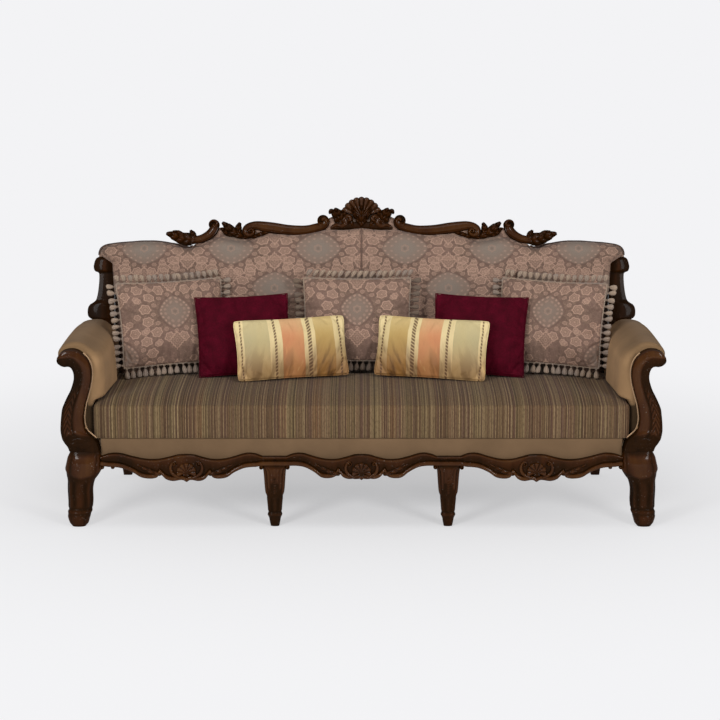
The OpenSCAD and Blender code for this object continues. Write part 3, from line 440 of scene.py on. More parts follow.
class Shade:
    """A node material and the one method that adds a node to it."""

    def __init__(self, name):
        self.material = bpy.data.materials.new(name)
        self.material.use_nodes = True
        self.tree = self.material.node_tree
        self.surface = self.tree.nodes["Principled BSDF"]

    def node(self, kind, settings=None, inputs=None, output=0):
        """Adds a node, with its settings, its inputs set or linked, and one output to go on from."""
        made = self.tree.nodes.new(kind)
        for key, value in (settings or {}).items():
            if key == "stops":
                stops = made.color_ramp.elements
                while len(stops) < len(value):
                    stops.new(1)
                for stop, (at, colour) in zip(stops, value):
                    stop.position, stop.color = at, (*colour, 1)
            elif key == "steps":
                made.color_ramp.interpolation = value
            else:
                setattr(made, key, value)
        for key, value in (inputs or {}).items():
            if isinstance(value, Wire):
                self.tree.links.new(value.socket, made.inputs[key])
            else:
                made.inputs[key].default_value = value
        return Wire(self, made.outputs[output])

    def math(self, operation, *values):
        return self.node("ShaderNodeMath", {"operation": operation}, dict(enumerate(values)))

    def mix(self, factor, a, b):
        """Colour a where the factor is 0 and b where it is 1."""
        a, b = (v if isinstance(v, Wire) else (*v, 1) for v in (a, b))
        return self.node("ShaderNodeMix", {"data_type": "RGBA"}, {0: factor, 6: a, 7: b}, 2)

    def ramp(self, factor, stops, steps="LINEAR"):
        return self.node("ShaderNodeValToRGB", {"stops": stops, "steps": steps}, {0: factor})

    def place(self):
        """Object coordinates."""
        return self.node("ShaderNodeTexCoord", output="Object")

    def field(self, name, output="Fac"):
        """What the mesh stores at each point: relief, or cloth as a vector."""
        return self.node("ShaderNodeAttribute", {"attribute_name": name}, output=output)

    def split(self, vector):
        return [self.node("ShaderNodeSeparateXYZ", {}, {0: vector}, i) for i in range(3)]

    def join(self, x, y, z=0.0):
        return self.node("ShaderNodeCombineXYZ", {}, {0: x, 1: y, 2: z})

    def noise(self, vector, scale, detail, stretch=None):
        if stretch:
            vector = self.node("ShaderNodeMapping", {}, {0: vector, "Scale": stretch})
        return self.node("ShaderNodeTexNoise", {}, {"Vector": vector, "Scale": scale, "Detail": detail})

    def bump(self, height, distance, strength):
        return self.node("ShaderNodeBump", {}, {"Height": height, "Distance": distance, "Strength": strength})

    def set(self, **sockets):
        """Sets or links the shader's own sockets, named with underscores for spaces."""
        for key, value in sockets.items():
            socket = self.surface.inputs[key.replace("_", " ")]
            if isinstance(value, Wire):
                self.tree.links.new(value.socket, socket)
            else:
                socket.default_value = (*value, 1) if isinstance(value, tuple) else value
        return self.material


def once(make):
    """Keeps a material, so that each is made a single time."""
    kept = {}

    def made():
        if "material" not in kept:
            kept["material"] = make()
        return kept["material"]

    return made


def chosen(name):
    """A colour from the panel."""
    return tuple(getattr(bpy.context.scene.sofa_colours, name))


def times(colour, share):
    """A colour made lighter or darker: by one share, or by one for each of its parts."""
    return tuple(min(float(v), 1) for v in np.array(colour) * share)


@once
def walnut():
    """Polished walnut: near black in the recesses, a little browner where it stands proud, with pale flecks on
    the carving that are painted glints.
    """
    s = Shade("walnut")
    at = s.place()
    relief = s.field("relief")
    grain = s.noise(at, 13, 6, (1, 1, 0.4))
    streak = s.noise(at, 60, 3, (1, 1, 0.18))
    tone = relief * 0.62 + (grain - 0.5) * 0.7 + (streak - 0.5) * 0.3 + 0.1
    colour = s.ramp(tone, [
        (0.0, paint(17, 7, 0)), (0.3, paint(37, 18, 2)),
        (0.55, chosen("walnut")), (0.85, paint(72, 42, 14)), (1.0, paint(98, 64, 30)),
    ])
    worn = s.noise(at, 35, 4)
    # Painted highlight: pale flecks, more of them on raised carving, stand in for glints of gloss.
    fleck = s.noise(at, 210, 2).ease(0.66, 0.72) * s.noise(at, 22, 2).ease(0.42, 0.6)
    colour = s.mix(fleck * (relief * 0.3 + 0.12), colour, paint(150, 138, 130))
    return s.set(
        Base_Color=colour, Roughness=0.5 - relief * 0.12 + (worn - 0.5) * 0.2,
        Normal=s.bump(streak * 0.5 + worn * 0.5, 0.0006, 0.35),
        Specular_IOR_Level=0.04, Coat_Weight=relief * relief * 0.24 + 0.025, Coat_Roughness=0.08,
    )


def nap(name, base, lit=None):
    """Suede: the nap is brushed one way here and another there, over a fine tooth. lit names a
    field of painted light and shade: 0.6 leaves the nap its own tone, more paints light on it and
    less paints shade."""
    s = Shade(name)
    at = s.place()
    brushed, cloud = s.noise(at, 9, 5), s.noise(at, 2.6, 2)
    tooth = s.noise(at, 900, 2)
    tone = brushed * 0.5 + cloud * 0.35 + tooth * 0.15
    if lit:
        tone = tone + (s.field(lit) - 0.6)
    # The lowest stops are reached where the lit field paints shade.
    colour = s.ramp(tone, [
        (0.05, times(base, 0.26)), (0.3, times(base, 0.78)), (0.52, base), (0.74, times(base, 1.22)),
        (0.98, times(base, 1.7)),
    ])
    return s.set(
        Base_Color=colour, Roughness=0.9, Normal=s.bump(tooth * 0.6 + brushed * 0.4, 0.0008, 0.5),
        Sheen_Weight=0.04, Sheen_Roughness=0.5, Specular_IOR_Level=0.06,
    )


@once
def suede():
    """The suede of the front rail, the outside of the arms and the deck: a darker copy of the suede, painted
    shade.
    """
    return nap("suede", times(chosen("suede"), 0.73))


@once
def arm_suede():
    """A paler copy of the suede for the arms' pads, painted light; its relief field adds painted light and
    shade.
    """
    return nap("arm_suede", times(chosen("suede"), (1.07, 1.05, 0.97)), "relief")


def repeat(s, v, period, shift):
    """A coordinate within its repeat, nought at the middle of each."""
    return (s.math("FRACT", v / period + shift) - 0.5) * period


def medallion(s, x, y, wide, high, ring_x, ring_y, beads):
    """One motif about its centre: a pointed oval with a flower, in a ring of petalled florets, with a
    diamond cluster above and below. Returns how much of each there is."""
    oval = (abs(x) / wide) ** 1.5 + (abs(y) / high) ** 1.5
    inside = oval.ease(1.1, 0.86)
    glow = oval.ease(0.75, 0.1)
    line = abs(oval - 1.04).ease(0.16, 0.04)
    middle = (x * x + y * y) ** 0.5
    petal = s.math("COSINE", s.math("ARCTAN2", y, x) * 6.0) * 0.0016
    flower = abs(middle + petal - 0.0125).ease(0.0042, 0.0012)
    heart = middle.ease(0.0072, 0.004)
    turn = s.math("ARCTAN2", y / ring_y, x / ring_x)
    far = ((x / ring_x) ** 2 + (y / ring_y) ** 2) ** 0.5
    size = (ring_x + ring_y) / 2
    floret, outline = 0.0, 0.0
    for reach, phase, scale in ((1.0, 0.25, 1.0), (1.29, 0.75, 0.62), (0.74, 0.75, 0.42)):
        spacing = 2 * math.pi * size * reach / beads
        along = (s.math("FRACT", turn * (beads / (2 * math.pi)) + (100 + phase)) - 0.5) * spacing
        away = (far - reach) * size * 0.9
        dist = (along * along + away * away) ** 0.5 / scale
        angle = s.math("ARCTAN2", away, along)
        dist = dist + s.math("COSINE", angle * 6.0) * 0.0017
        floret = dist.ease(0.0195, 0.016) * scale ** 0.5 + floret
        inner = abs(dist - 0.0095).ease(0.0028, 0.0008) * 0.55
        outline = abs(dist - 0.0165).ease(0.0034, 0.0009) + inner + outline
        outline = outline + dist.ease(0.005, 0.0026) * 0.9
    for count, ring, much in ((20, 0.84, 0.7), (12, 0.5, 0.4)):
        dots = (s.math("FRACT", turn * (count / (2 * math.pi)) + 100.0) - 0.5) * (6.28 * wide * ring / count)
        dots = (dots * dots + ((oval - ring) * wide * 0.75) ** 2) ** 0.5
        outline = outline + dots.ease(0.0062, 0.0034) * much
    beyond = abs(abs(y) - (ring_y + 0.012))
    lean = beyond * 0.9 + abs(x) + s.math("SINE", (abs(x) - beyond) * 420.0) * 0.0022
    diamond = lean.ease(0.034, 0.029)
    edge = abs(lean - 0.0295).ease(0.0044, 0.0012) + abs(lean - 0.017).ease(0.003, 0.001) * 0.6
    edge = edge + abs(lean - 0.006).ease(0.003, 0.001) * 0.7
    clear = 1 - diamond
    return inside, line, flower, heart, glow, floret * clear + diamond, outline * clear + edge


def damask_cloth(s, x, y, period, size, shift=(0.0, 0.0), clear=1.0, tone=1.0):
    """Dusty mauve damask: grey-green medallions on a diamond lattice, pinkish petalled florets round
    them and filigree between, all woven in. shift is how much of a period the first one lies along,
    clear is how plainly the medallions stand out, and tone how light the whole cloth is."""
    at = s.join(x, y)
    wander = s.noise(at, 34, 2) - 0.5
    drift = s.noise(s.join(y, x), 34, 2) - 0.5
    x, y = x + wander * 0.006, y + drift * 0.006
    wide, high, ring_x, ring_y, beads = size
    parts = []
    for half in (0.0, 0.5):
        cx = repeat(s, x, period[0], shift[0] + half)
        cy = repeat(s, y, period[1], shift[1] + half)
        parts.append(medallion(s, cx, cy, wide, high, ring_x, ring_y, beads))
    inside, line, flower, heart, glow, floret, outline = (
        s.node("ShaderNodeClamp", {}, {0: a + b}) for a, b in zip(*parts)
    )

    def cells(feature, scale, uneven):
        """Cells scattered over the cloth: how far each point is from their edges or middles."""
        inputs = {"Vector": at, "Scale": scale, "Randomness": uneven}
        return s.node("ShaderNodeTexVoronoi", {"feature": feature}, inputs)

    edges, curl = cells("DISTANCE_TO_EDGE", 58.0, 0.9), cells("F1", 72.0, 1.0)
    filigree = edges.ease(0.1, 0.02) * 0.45 + abs(curl - 0.3).ease(0.12, 0.02) * 0.8
    filigree = filigree * (1 - inside * 0.7) * (1 - floret * 0.5)
    ground, sage, rose = (times(chosen(name), tone) for name in ("damask", "medallion", "floret"))
    cloudy, thread = s.noise(at, 7, 4), s.noise(at, 420, 2)
    olive, dusty = times(ground, (0.76, 0.8, 0.75)), times(ground, (1.04, 1.03, 1.04))
    colour = s.mix(cloudy.ease(0.3, 0.7), olive, dusty)
    colour = s.mix(filigree * 0.55, colour, rose)
    colour = s.mix(inside * 0.7 * clear, colour, times(rose, 0.88))
    colour = s.mix(inside * 0.4 * clear + glow * 0.5 * clear, colour, sage)
    colour = s.mix(line * 0.5, colour, times(ground, 0.7))
    colour = s.mix(floret * 0.5, colour, rose)
    colour = s.mix(outline * 0.74, colour, times(rose, 1.65))
    colour = s.mix(flower * 0.6, colour, times(rose, 1.2))
    colour = s.mix(heart * 0.4, colour, times(ground, 0.8))
    yarn = s.noise(at, 1100, 2)
    bands = {"wave_type": "BANDS", "bands_direction": "DIAGONAL"}
    weave = s.node("ShaderNodeTexWave", bands, {"Vector": at, "Scale": 260.0, "Distortion": 1.0})
    colour = s.mix(thread.ease(0.3, 0.75) * 0.4, colour, times(ground, 0.6))
    colour = s.mix(yarn.ease(0.25, 0.75) * 0.2, colour, times(ground, 0.5))
    raised = outline * 0.5 + floret * 0.3 + inside * 0.2 + filigree * 0.4 + thread * 0.4 + weave * 0.2
    return s.set(
        Base_Color=colour, Roughness=0.78 - inside * 0.1 - outline * 0.12,
        Normal=s.bump(raised, 0.0012, 0.5), Sheen_Weight=0.06, Sheen_Roughness=0.4, Specular_IOR_Level=0.25,
    )


@once
def damask():
    """The cloth of the back, laid out from the middle seam and down from the crest."""
    s = Shade("damask")
    x, drop, _ = s.split(s.field("cloth", "Vector"))
    period, first = (0.3395, 0.31), 0.207
    size, shift = (0.09, 0.064, 0.13, 0.094, 15), (0.0, 0.5 - first / period[1])
    return damask_cloth(s, x, drop, period, size, shift, tone=0.92)


@once
def pillow_damask():
    """The same cloth on a pillow, centred on it."""
    s = Shade("pillow_damask")
    x, y, _ = s.split(s.field("cloth", "Vector"))
    return damask_cloth(s, x, y, (0.42, 0.33), (0.062, 0.066, 0.113, 0.1, 13), (0.5, 0.385), 0.62)


@once
def plain_mauve():
    """The plain cloth of the back's outside."""
    s = Shade("plain_mauve")
    at = s.place()
    slub, yarn = s.noise(at, 40, 4, (1, 1, 12)), s.noise(at, 1000, 2)
    base = times(chosen("damask"), 0.85)
    colour = s.mix(slub * 0.5 + yarn * 0.4, times(base, 0.72), times(base, 1.2))
    return s.set(Base_Color=colour, Roughness=0.8, Normal=s.bump(slub * 0.5 + yarn * 0.5, 0.0008, 0.5))


@once
def seat_stripe():
    """Fine upright stripes, each of its own colour, in groups between dark and pale lines."""
    s = Shade("seat_stripe")
    at = s.place()
    x, y, z = s.split(at)
    drift = s.noise(s.join(x * 7.0, 0.0), 1.0, 2) * 0.05
    fine = x + drift

    def strips(width, seed, stops):
        """Stripes of one width, each of a colour drawn from the stops."""
        each = {"W": s.math("FLOOR", fine / width) + seed}
        return s.ramp(s.node("ShaderNodeTexWhiteNoise", {"noise_dimensions": "1D"}, each), stops, "CONSTANT")

    def lit(period, stops):
        """Lines at set shares of a period, each as bright as its stop says."""
        return s.ramp(s.math("FRACT", fine / period), [(at, (level,) * 3) for at, level in stops])

    colour = strips(0.0056, 3.0, [
        (0.0, paint(104, 80, 56)), (0.2, paint(80, 58, 42)), (0.4, paint(116, 96, 68)),
        (0.56, paint(92, 68, 56)), (0.72, paint(140, 118, 86)), (0.86, paint(66, 48, 32)),
    ])
    colour = s.mix(0.3, colour, strips(0.031, 11.0, [
        (0.0, paint(96, 74, 52)), (0.35, paint(106, 78, 62)), (0.65, paint(112, 98, 64)),
        (0.88, paint(122, 84, 52)),
    ]))
    lines = lit(0.0175, [
        (0.0, 0), (0.05, 1), (0.13, 0), (0.4, 0), (0.46, 0.7), (0.54, 0), (0.8, 0), (0.88, 0.45), (0.96, 0),
    ])
    pale = lit(0.0232, [(0.0, 0), (0.3, 0), (0.36, 1), (0.42, 0), (0.7, 0), (0.76, 0.6), (0.82, 0)])
    hair = s.noise(s.join(x * 1300.0, z * 30.0, y * 30.0), 1.0, 2)
    fleck = s.noise(s.join(x * 300.0, z * 90.0, y * 90.0), 1.0, 3)
    colour = s.mix(pale * 0.8, colour, paint(168, 143, 104))
    colour = s.mix(lines * 0.9, colour, paint(40, 27, 17))
    colour = s.mix(hair.ease(0.35, 0.75) * 0.2, colour, paint(128, 102, 70))
    colour = s.mix(fleck.ease(0.4, 0.8) * 0.5, colour, paint(56, 39, 26))
    colour = s.mix(0.13, colour, paint(54, 34, 18))
    raised = (1 - lines) * 0.7 + hair * 0.3
    return s.set(
        Base_Color=colour, Roughness=0.82, Normal=s.bump(raised, 0.0011, 0.6),
        Sheen_Weight=0.04, Specular_IOR_Level=0.2,
    )


@once
def velvet():
    """Deep wine velvet: crushed in patches, with a bright edge where the pile turns away."""
    s = Shade("velvet")
    at = s.field("cloth", "Vector")
    crush, pile = s.noise(at, 26, 5), s.noise(at, 1400, 2)
    base = chosen("velvet")
    tone = crush * 0.5 + s.noise(at, 150, 3) * 0.3 + pile * 0.2
    colour = s.ramp(tone, [(0.36, times(base, 0.62)), (0.52, base), (0.68, times(base, 1.5))])
    return s.set(
        Base_Color=colour, Roughness=0.75, Normal=s.bump(crush * 0.4 + pile * 0.6, 0.0012, 0.5),
        Sheen_Weight=0.12, Sheen_Roughness=0.3, Sheen_Tint=paint(190, 40, 80), Specular_IOR_Level=0.06,
    )


@once
def silk_stripe():
    """Silk with wide panels between cream bands and a dashed braid down each band. Light and shade
    are painted on: a painted sheen, painted light along the top, and painted golden-brown shade
    towards the foot, where it gathers, darkest in its creases and at the inner end, with painted
    highlights on the creases' ridges."""
    s = Shade("silk_stripe")
    at = s.field("cloth", "Vector")
    x, y, _ = s.split(at)
    sway = (s.noise(s.join(x * 3.0, y * 7.0), 1.0, 2) - 0.5) * 0.01
    u = (sway - x) / (STRIPED_SIZE[0] / 1000) + 0.5
    cream = chosen("cream")
    sage, rust, gold = paint(180, 166, 124), paint(200, 132, 90), paint(180, 147, 84)
    colour = s.ramp(u, [
        (0.0, cream), (0.085, sage), (0.3, cream), (0.41, rust), (0.6, cream), (0.7, gold), (0.87, cream),
    ], "CONSTANT")
    dash = s.math("FRACT", y / 0.0125 + x / 0.02).ease(0.72, 0.5)
    braid = 0.0
    for middle, half in ((0.06, 0.005), (0.352, 0.008), (0.652, 0.013), (0.93, 0.007)):
        braid = abs(u - middle).ease(half * 1.7, half * 0.9) + braid
    shimmer = s.noise(s.join(x * 14.0, y * 4.0), 1.0, 4)
    crease = s.noise(s.join(x * 26.0 + y * 9.0, y * 7.0), 1.0, 4)
    thread = s.noise(s.join(x * 1500.0, y * 60.0), 1.0, 2)
    low = y.ease(0.05, -0.105)
    # Painted sheen: the shimmer lightens the silk in soft patches.
    colour = s.mix(shimmer.ease(0.35, 0.7) * 0.25, colour, paint(210, 184, 122))
    inner = u.ease(0.4, 1.0)
    # Painted shade: golden brown towards the foot, darkest in the creases and towards the inner end, with
    # painted highlights on the creases' ridges.
    colour = s.mix(low * (inner * 0.22 + 0.6), colour, paint(146, 92, 38))
    colour = s.mix(low * crease.ease(0.46, 0.6) * (inner * 0.5 + 0.42), colour, paint(70, 40, 16))
    colour = s.mix(low * crease.ease(0.38, 0.28) * 0.55, colour, paint(232, 196, 132))
    colour = s.mix(low * inner * 0.3, colour, paint(84, 54, 26))
    # Painted light along the top.
    colour = s.mix(y.ease(0.02, 0.11) * 0.3, colour, paint(240, 220, 165))
    colour = s.mix(braid * (0.25 + dash * 0.65), colour, paint(86, 56, 34))
    colour = s.mix(thread.ease(0.3, 0.8) * 0.14, colour, paint(112, 90, 56))
    return s.set(
        Base_Color=colour, Roughness=0.52 + thread * 0.16,
        Normal=s.bump(thread * 0.1 + braid * dash * 0.5 + crease * low * 1.2, 0.002, 0.5),
        Sheen_Weight=0.08, Sheen_Tint=paint(240, 220, 160), Specular_IOR_Level=0.3,
    )


@once
def tassel_yarn():
    """Beige and grey yarn; its relief field paints shade in the folds between its strands and on shaded
    fringes, and light towards the tips.
    """
    s = Shade("tassel_yarn")
    at = s.place()
    strand = s.field("relief")
    fuzz, patch = s.noise(at, 700, 3), s.noise(at, 18, 2)
    base = s.mix(patch.ease(0.35, 0.65), chosen("fringe"), paint(158, 142, 130))
    # The relief level paints light and shade into the yarn.
    colour = s.mix(strand * 0.8 + fuzz * 0.25, paint(78, 62, 50), base)
    return s.set(
        Base_Color=colour, Roughness=0.85, Normal=s.bump(fuzz, 0.001, 0.6), Sheen_Weight=0.1,
        Specular_IOR_Level=0.2,
    )


def two_tone(name, first, second, grain, rough, dent=None, **sockets):
    """A plain finish: one noise mixes its two tones, and dents it where a depth and a strength are
    given. rough is the roughness, with how much the noise adds to it."""
    s = Shade(name)
    speck = s.noise(s.place(), *grain)
    if dent:
        sockets["Normal"] = s.bump(speck, *dent)
    return s.set(Base_Color=s.mix(speck, first, second), Roughness=speck * rough[1] + rough[0], **sockets)


@once
def welt_cord():
    """Suede piping, a shade paler than the panels."""
    tones = times(chosen("suede"), 1.7), times(chosen("suede"), 2.5)
    return two_tone("welt_cord", *tones, (800, 2), (0.8, 0), (0.0005, 0.5), Sheen_Weight=0.1)


@once
def brown_cord():
    """Dark brown piping along the ears of the back."""
    return two_tone("brown_cord", paint(36, 22, 16), paint(66, 44, 34), (800, 2), (0.75, 0), (0.0005, 0.5))


@once
def beech():
    """Plain planed beech for the hidden frame."""
    grain = (14, 5, (0.3, 4, 4))
    return two_tone("beech", paint(196, 160, 112), paint(158, 118, 76), grain, (0.6, 0), (0.0006, 0.4))


@once
def spring_steel():
    """Dull drawn wire and its clips."""
    tones = paint(120, 122, 125), paint(170, 171, 172)
    return two_tone("spring_steel", *tones, (60, 3), (0.35, 0.2), Metallic=1.0)


@once
def lining():
    """Black cloth under the seat."""
    return two_tone("lining", paint(22, 20, 18), paint(48, 45, 41), (800, 2), (0.9, 0), (0.0004, 0.6))


@once
def nylon():
    """The scuffed black glides."""
    return two_tone("nylon", paint(30, 28, 26), paint(58, 55, 51), (120, 3), (0.5, 0.2))


@once
def studio_floor():
    """A pale floor. To the camera it glows faintly, and more the farther it lies from the sofa, so
    the picture's ground is near white and the shadow stays soft."""
    s = Shade("studio_floor")
    x, y, _ = s.split(s.place())
    far = (x * x + y * y) ** 0.5
    seen = s.node("ShaderNodeLightPath")
    glow = (0.5 + far.ease(0.2, 3.0) * 0.5) * seen
    tone = paint(243, 243, 245)
    return s.set(
        Base_Color=s.mix(glow, paint(246, 246, 247), (0, 0, 0)), Roughness=0.5, Specular_IOR_Level=0.0,
        Emission_Color=s.mix(glow, (0, 0, 0), tone), Emission_Strength=1.0,
    )


# Properties


class SofaSizes(bpy.types.PropertyGroup):
    welt: FloatProperty(
        name="Welt", description="Radius of the piping", default=0.0032, min=0.002, max=0.006, unit="LENGTH"
    )
    tassel: FloatProperty(
        name="Tassel", description="Length of a tassel", default=0.041, min=0.03, max=0.042, unit="LENGTH"
    )
    tassel_pitch: FloatProperty(
        name="Tassel spacing", description="Spacing of the tassels", default=0.024, min=0.02, max=0.03,
        unit="LENGTH",
    )
    ribs: IntProperty(name="Shell ribs", description="Ribs on each carved shell", default=9, min=5, max=13)
    lens: FloatProperty(name="Lens", description="Focal length of the camera", default=107.6, min=50, max=200)


def colour_of(name, description, *shade):
    """A colour for the panel, from 0 to 255."""
    return FloatVectorProperty(name=name, description=description, subtype="COLOR", default=paint(*shade))


class SofaColours(bpy.types.PropertyGroup):
    walnut: colour_of("Walnut", "Middle tone of the wood", 54, 26, 5)
    suede: colour_of("Suede", "Arms and front rail", 128, 102, 76)
    damask: colour_of("Damask", "Ground of the damask", 124, 98, 86)
    medallion: colour_of("Medallion", "Medallions on the damask", 140, 128, 116)
    floret: colour_of("Floret", "Florets on the damask", 158, 128, 110)
    velvet: colour_of("Velvet", "Velvet pillows", 72, 4, 22)
    cream: colour_of("Cream", "Bands of the striped pillows", 224, 202, 152)
    fringe: colour_of("Fringe", "Tassels", 176, 154, 134)


# Carved walnut

APRON_Y, APRON_T = 14.0, 20.0
APRON_LOW = [
    [0, -57], [0.055, -49], [0.16, -53], [0.24, -46], [0.31, -26], [0.345, -39], [0.42, -44],
    [0.53, -39], [0.63, -20], [0.75, -5], [0.86, 0], [1, 0],
]
APRON_HIGH = [
    [0, 41], [0.1, 39], [0.21, 30], [0.34, 22], [0.48, 23], [0.62, 32], [0.78, 45], [0.9, 44], [1, 34],
]
MIDDLE_LEG_X = 319.0


def from_front(front):
    """Places carving that faces the sitter: it stands out towards the front from a plane."""
    return lambda x, z, out: np.stack(np.broadcast_arrays(x, front - out, z), -1)


def leg_skin(sections, n, around, relief_of):
    """A leg: rounded rings read off its sections (height, left, right, front, back, squareness),
    pushed out by the carving on them. relief_of takes height and the angle round from the front,
    and gives millimetres."""
    sections = np.asarray(sections, float)
    z = np.linspace(sections[0, 0], sections[-1, 0], n)
    x0, x1, y0, y1, square = lookup(sections, z).T[:, :, None]
    a = np.linspace(0, 2 * np.pi, around, endpoint=False)[None]
    power = 2 / square
    dx, dy = squared(np.sin(a), power), -squared(np.cos(a), power)
    front = (a + np.pi) % (2 * np.pi) - np.pi
    lift = relief_of(z[:, None], front)
    level = np.clip(0.34 + lift / 7.0, 0, 1)
    x = (x0 + x1) / 2 + (x1 - x0) / 2 * dx + lift * np.sin(a)
    y = (y0 + y1) / 2 + (y1 - y0) / 2 * dy - lift * np.cos(a)
    return np.stack([x, y, np.broadcast_to(z[:, None], x.shape)], -1), level


def knee(z, a):
    """The front leg's carving: pointed fingers of a leaf that hang from the top, ridges down the
    shin, a cuff over the ankle and toes, each a power of a cosine round the leg."""
    finger = np.abs(np.cos(2.4 * a)) ** 0.7
    tip = 182 + 20 * np.abs(a)
    leaf = 4.5 * finger * ease(tip - 4, tip + 12, z) * ease(284, 258, z)
    ridge = 1.5 * np.cos(9 * a) * ease(62, 80, z) * ease(176, 158, z) * ease(1.4, 1.1, np.abs(a))
    toe = 2.2 * finger * ease(46, 36, z) * ease(2, 14, z)
    return leaf + ridge + toe + 1.8 * hump(z, 56, 5) - 1.2 * hump(z, 66, 4)


def drooping(z, a):
    """The middle leg's carving: seven round-tipped lobes, longer towards the sides, a string of
    beads under the middle one, flutes down the shaft and a cuff over the ankle."""
    across = np.sign(a) * np.abs(np.sin(a)) ** 0.62 + 2 * (np.abs(a) > np.pi / 2)
    leaf = 0.0 * z * a
    for k in range(-3, 4):
        tip = 186 - 22 * abs(k)
        lobe = np.sqrt(np.clip(1 - ((across - 0.3 * k) / 0.135) ** 2, 0, 1))
        leaf = np.maximum(leaf, lobe * ease(tip - 8, tip + 10, z))
    leaf = 4.0 * leaf * ease(231, 219, z)
    beads = 3.0 * ease(0.2, 0.1, np.abs(across)) * np.abs(np.sin(np.pi * z / 9.5)) ** 0.6
    beads = beads * ease(120, 126, z) * ease(182, 175, z)
    ridge = 1.2 * np.cos(7 * across) * ease(52, 60, z) * ease(116, 100, z)
    return leaf + beads + ridge + 1.5 * hump(z, 45, 5) - 1.5 * hump(z, 54, 3)


# Sections of each leg: height, left and right of its own middle, front, back and squareness
FRONT_LEG = [
    [0, 62, 112, 15, 56, 2.4], [12, 54, 119, 11, 62, 2.4], [32, 48, 125, 6, 68, 2.4], [50, 41, 127, 7, 74, 2.5],
    [60, 39, 124, 12, 76, 2.5], [72, 36, 126, 14, 78, 2.6], [97, 34, 126, 15, 82, 2.7],
    [139, 34, 127, 12, 86, 2.8], [172, 26, 126, 7, 92, 2.8], [192, 12, 129, 4, 100, 3],
    [213, 1, 130, 2, 100, 3.2], [240, 0.5, 124, 2, 100, 3.6], [268, 1, 117, 7, 100, 4],
    [LEG_TOP - GAP, 1, 111, 12, 100, 5],
]
MIDDLE_LEG = [
    [0, -16, 16, 23, 50, 2.6], [10, -18, 18, 20, 52, 2.4], [20, -20, 20, 18, 54, 2.3],
    [27, -21, 21, 19, 54, 2.4], [34, -23, 23, 17, 56, 2.6], [43, -26, 26, 15, 57, 2.8],
    [52, -24.5, 24.5, 18, 58, 3], [104, -28.5, 28.5, 18, 64, 3.2], [135, -33, 33, 16, 70, 3.2],
    [158, -35, 35, 15, 74, 3.2], [200, -38, 38, 11, 84, 3], [220, -41, 41, 11, 89, 4],
    [RAIL_Z - GAP, -44, 44, 12, 90, 8],
]


def back_leg():
    """A raked leg: rounded squares whose front and back lines come forward as they rise."""
    y, rake, x, high = back_front(RAIL_Z), 122.0, HALF - 161, RAIL_Z - GAP
    heights = np.linspace(0, high, 60)
    near = lookup([[0, y + rake], [93, y + 0.42 * rake], [186, y + 4], [high, y]], heights)
    far = lookup([[0, y + rake + 38], [93, y + 45 + 0.46 * rake], [186, y + 51], [high, y + 45]], heights)
    z = heights[:, None]
    a = np.linspace(0, 2 * np.pi, 40, endpoint=False)[None]
    px = x + (17 + 5 * z / high) * squared(np.sin(a), 0.3)
    py = (near + far) / 2 + (far - near) / 2 * squared(np.cos(a), 0.3)
    return np.stack(np.broadcast_arrays(px, py, z), -1)


class SOFA_OT_legs(bpy.types.Operator):
    """Cabriole front legs, tapered middle legs and raked back legs, carved where they show"""

    bl_idname = "sofa.legs"
    bl_label = "Legs"

    def execute(self, context):
        for word, table, x, n, around, carving in (
            ("front", FRONT_LEG, LEG_IN, 130, 96, knee),
            ("middle", MIDDLE_LEG, MIDDLE_LEG_X, 120, 80, drooping),
        ):
            p, level = leg_skin(np.array(table) + [0, x, x, 0, 0, 0], n, around, carving)
            carved_sides(Shape().grid(p, ring=True, ends=True, relief=level), f"{{}}_{word}_leg")
        carved_sides(Shape().grid(back_leg(), ring=True, ends=True, relief=0.45), "{}_back_leg", "shaped")
        return {"FINISHED"}


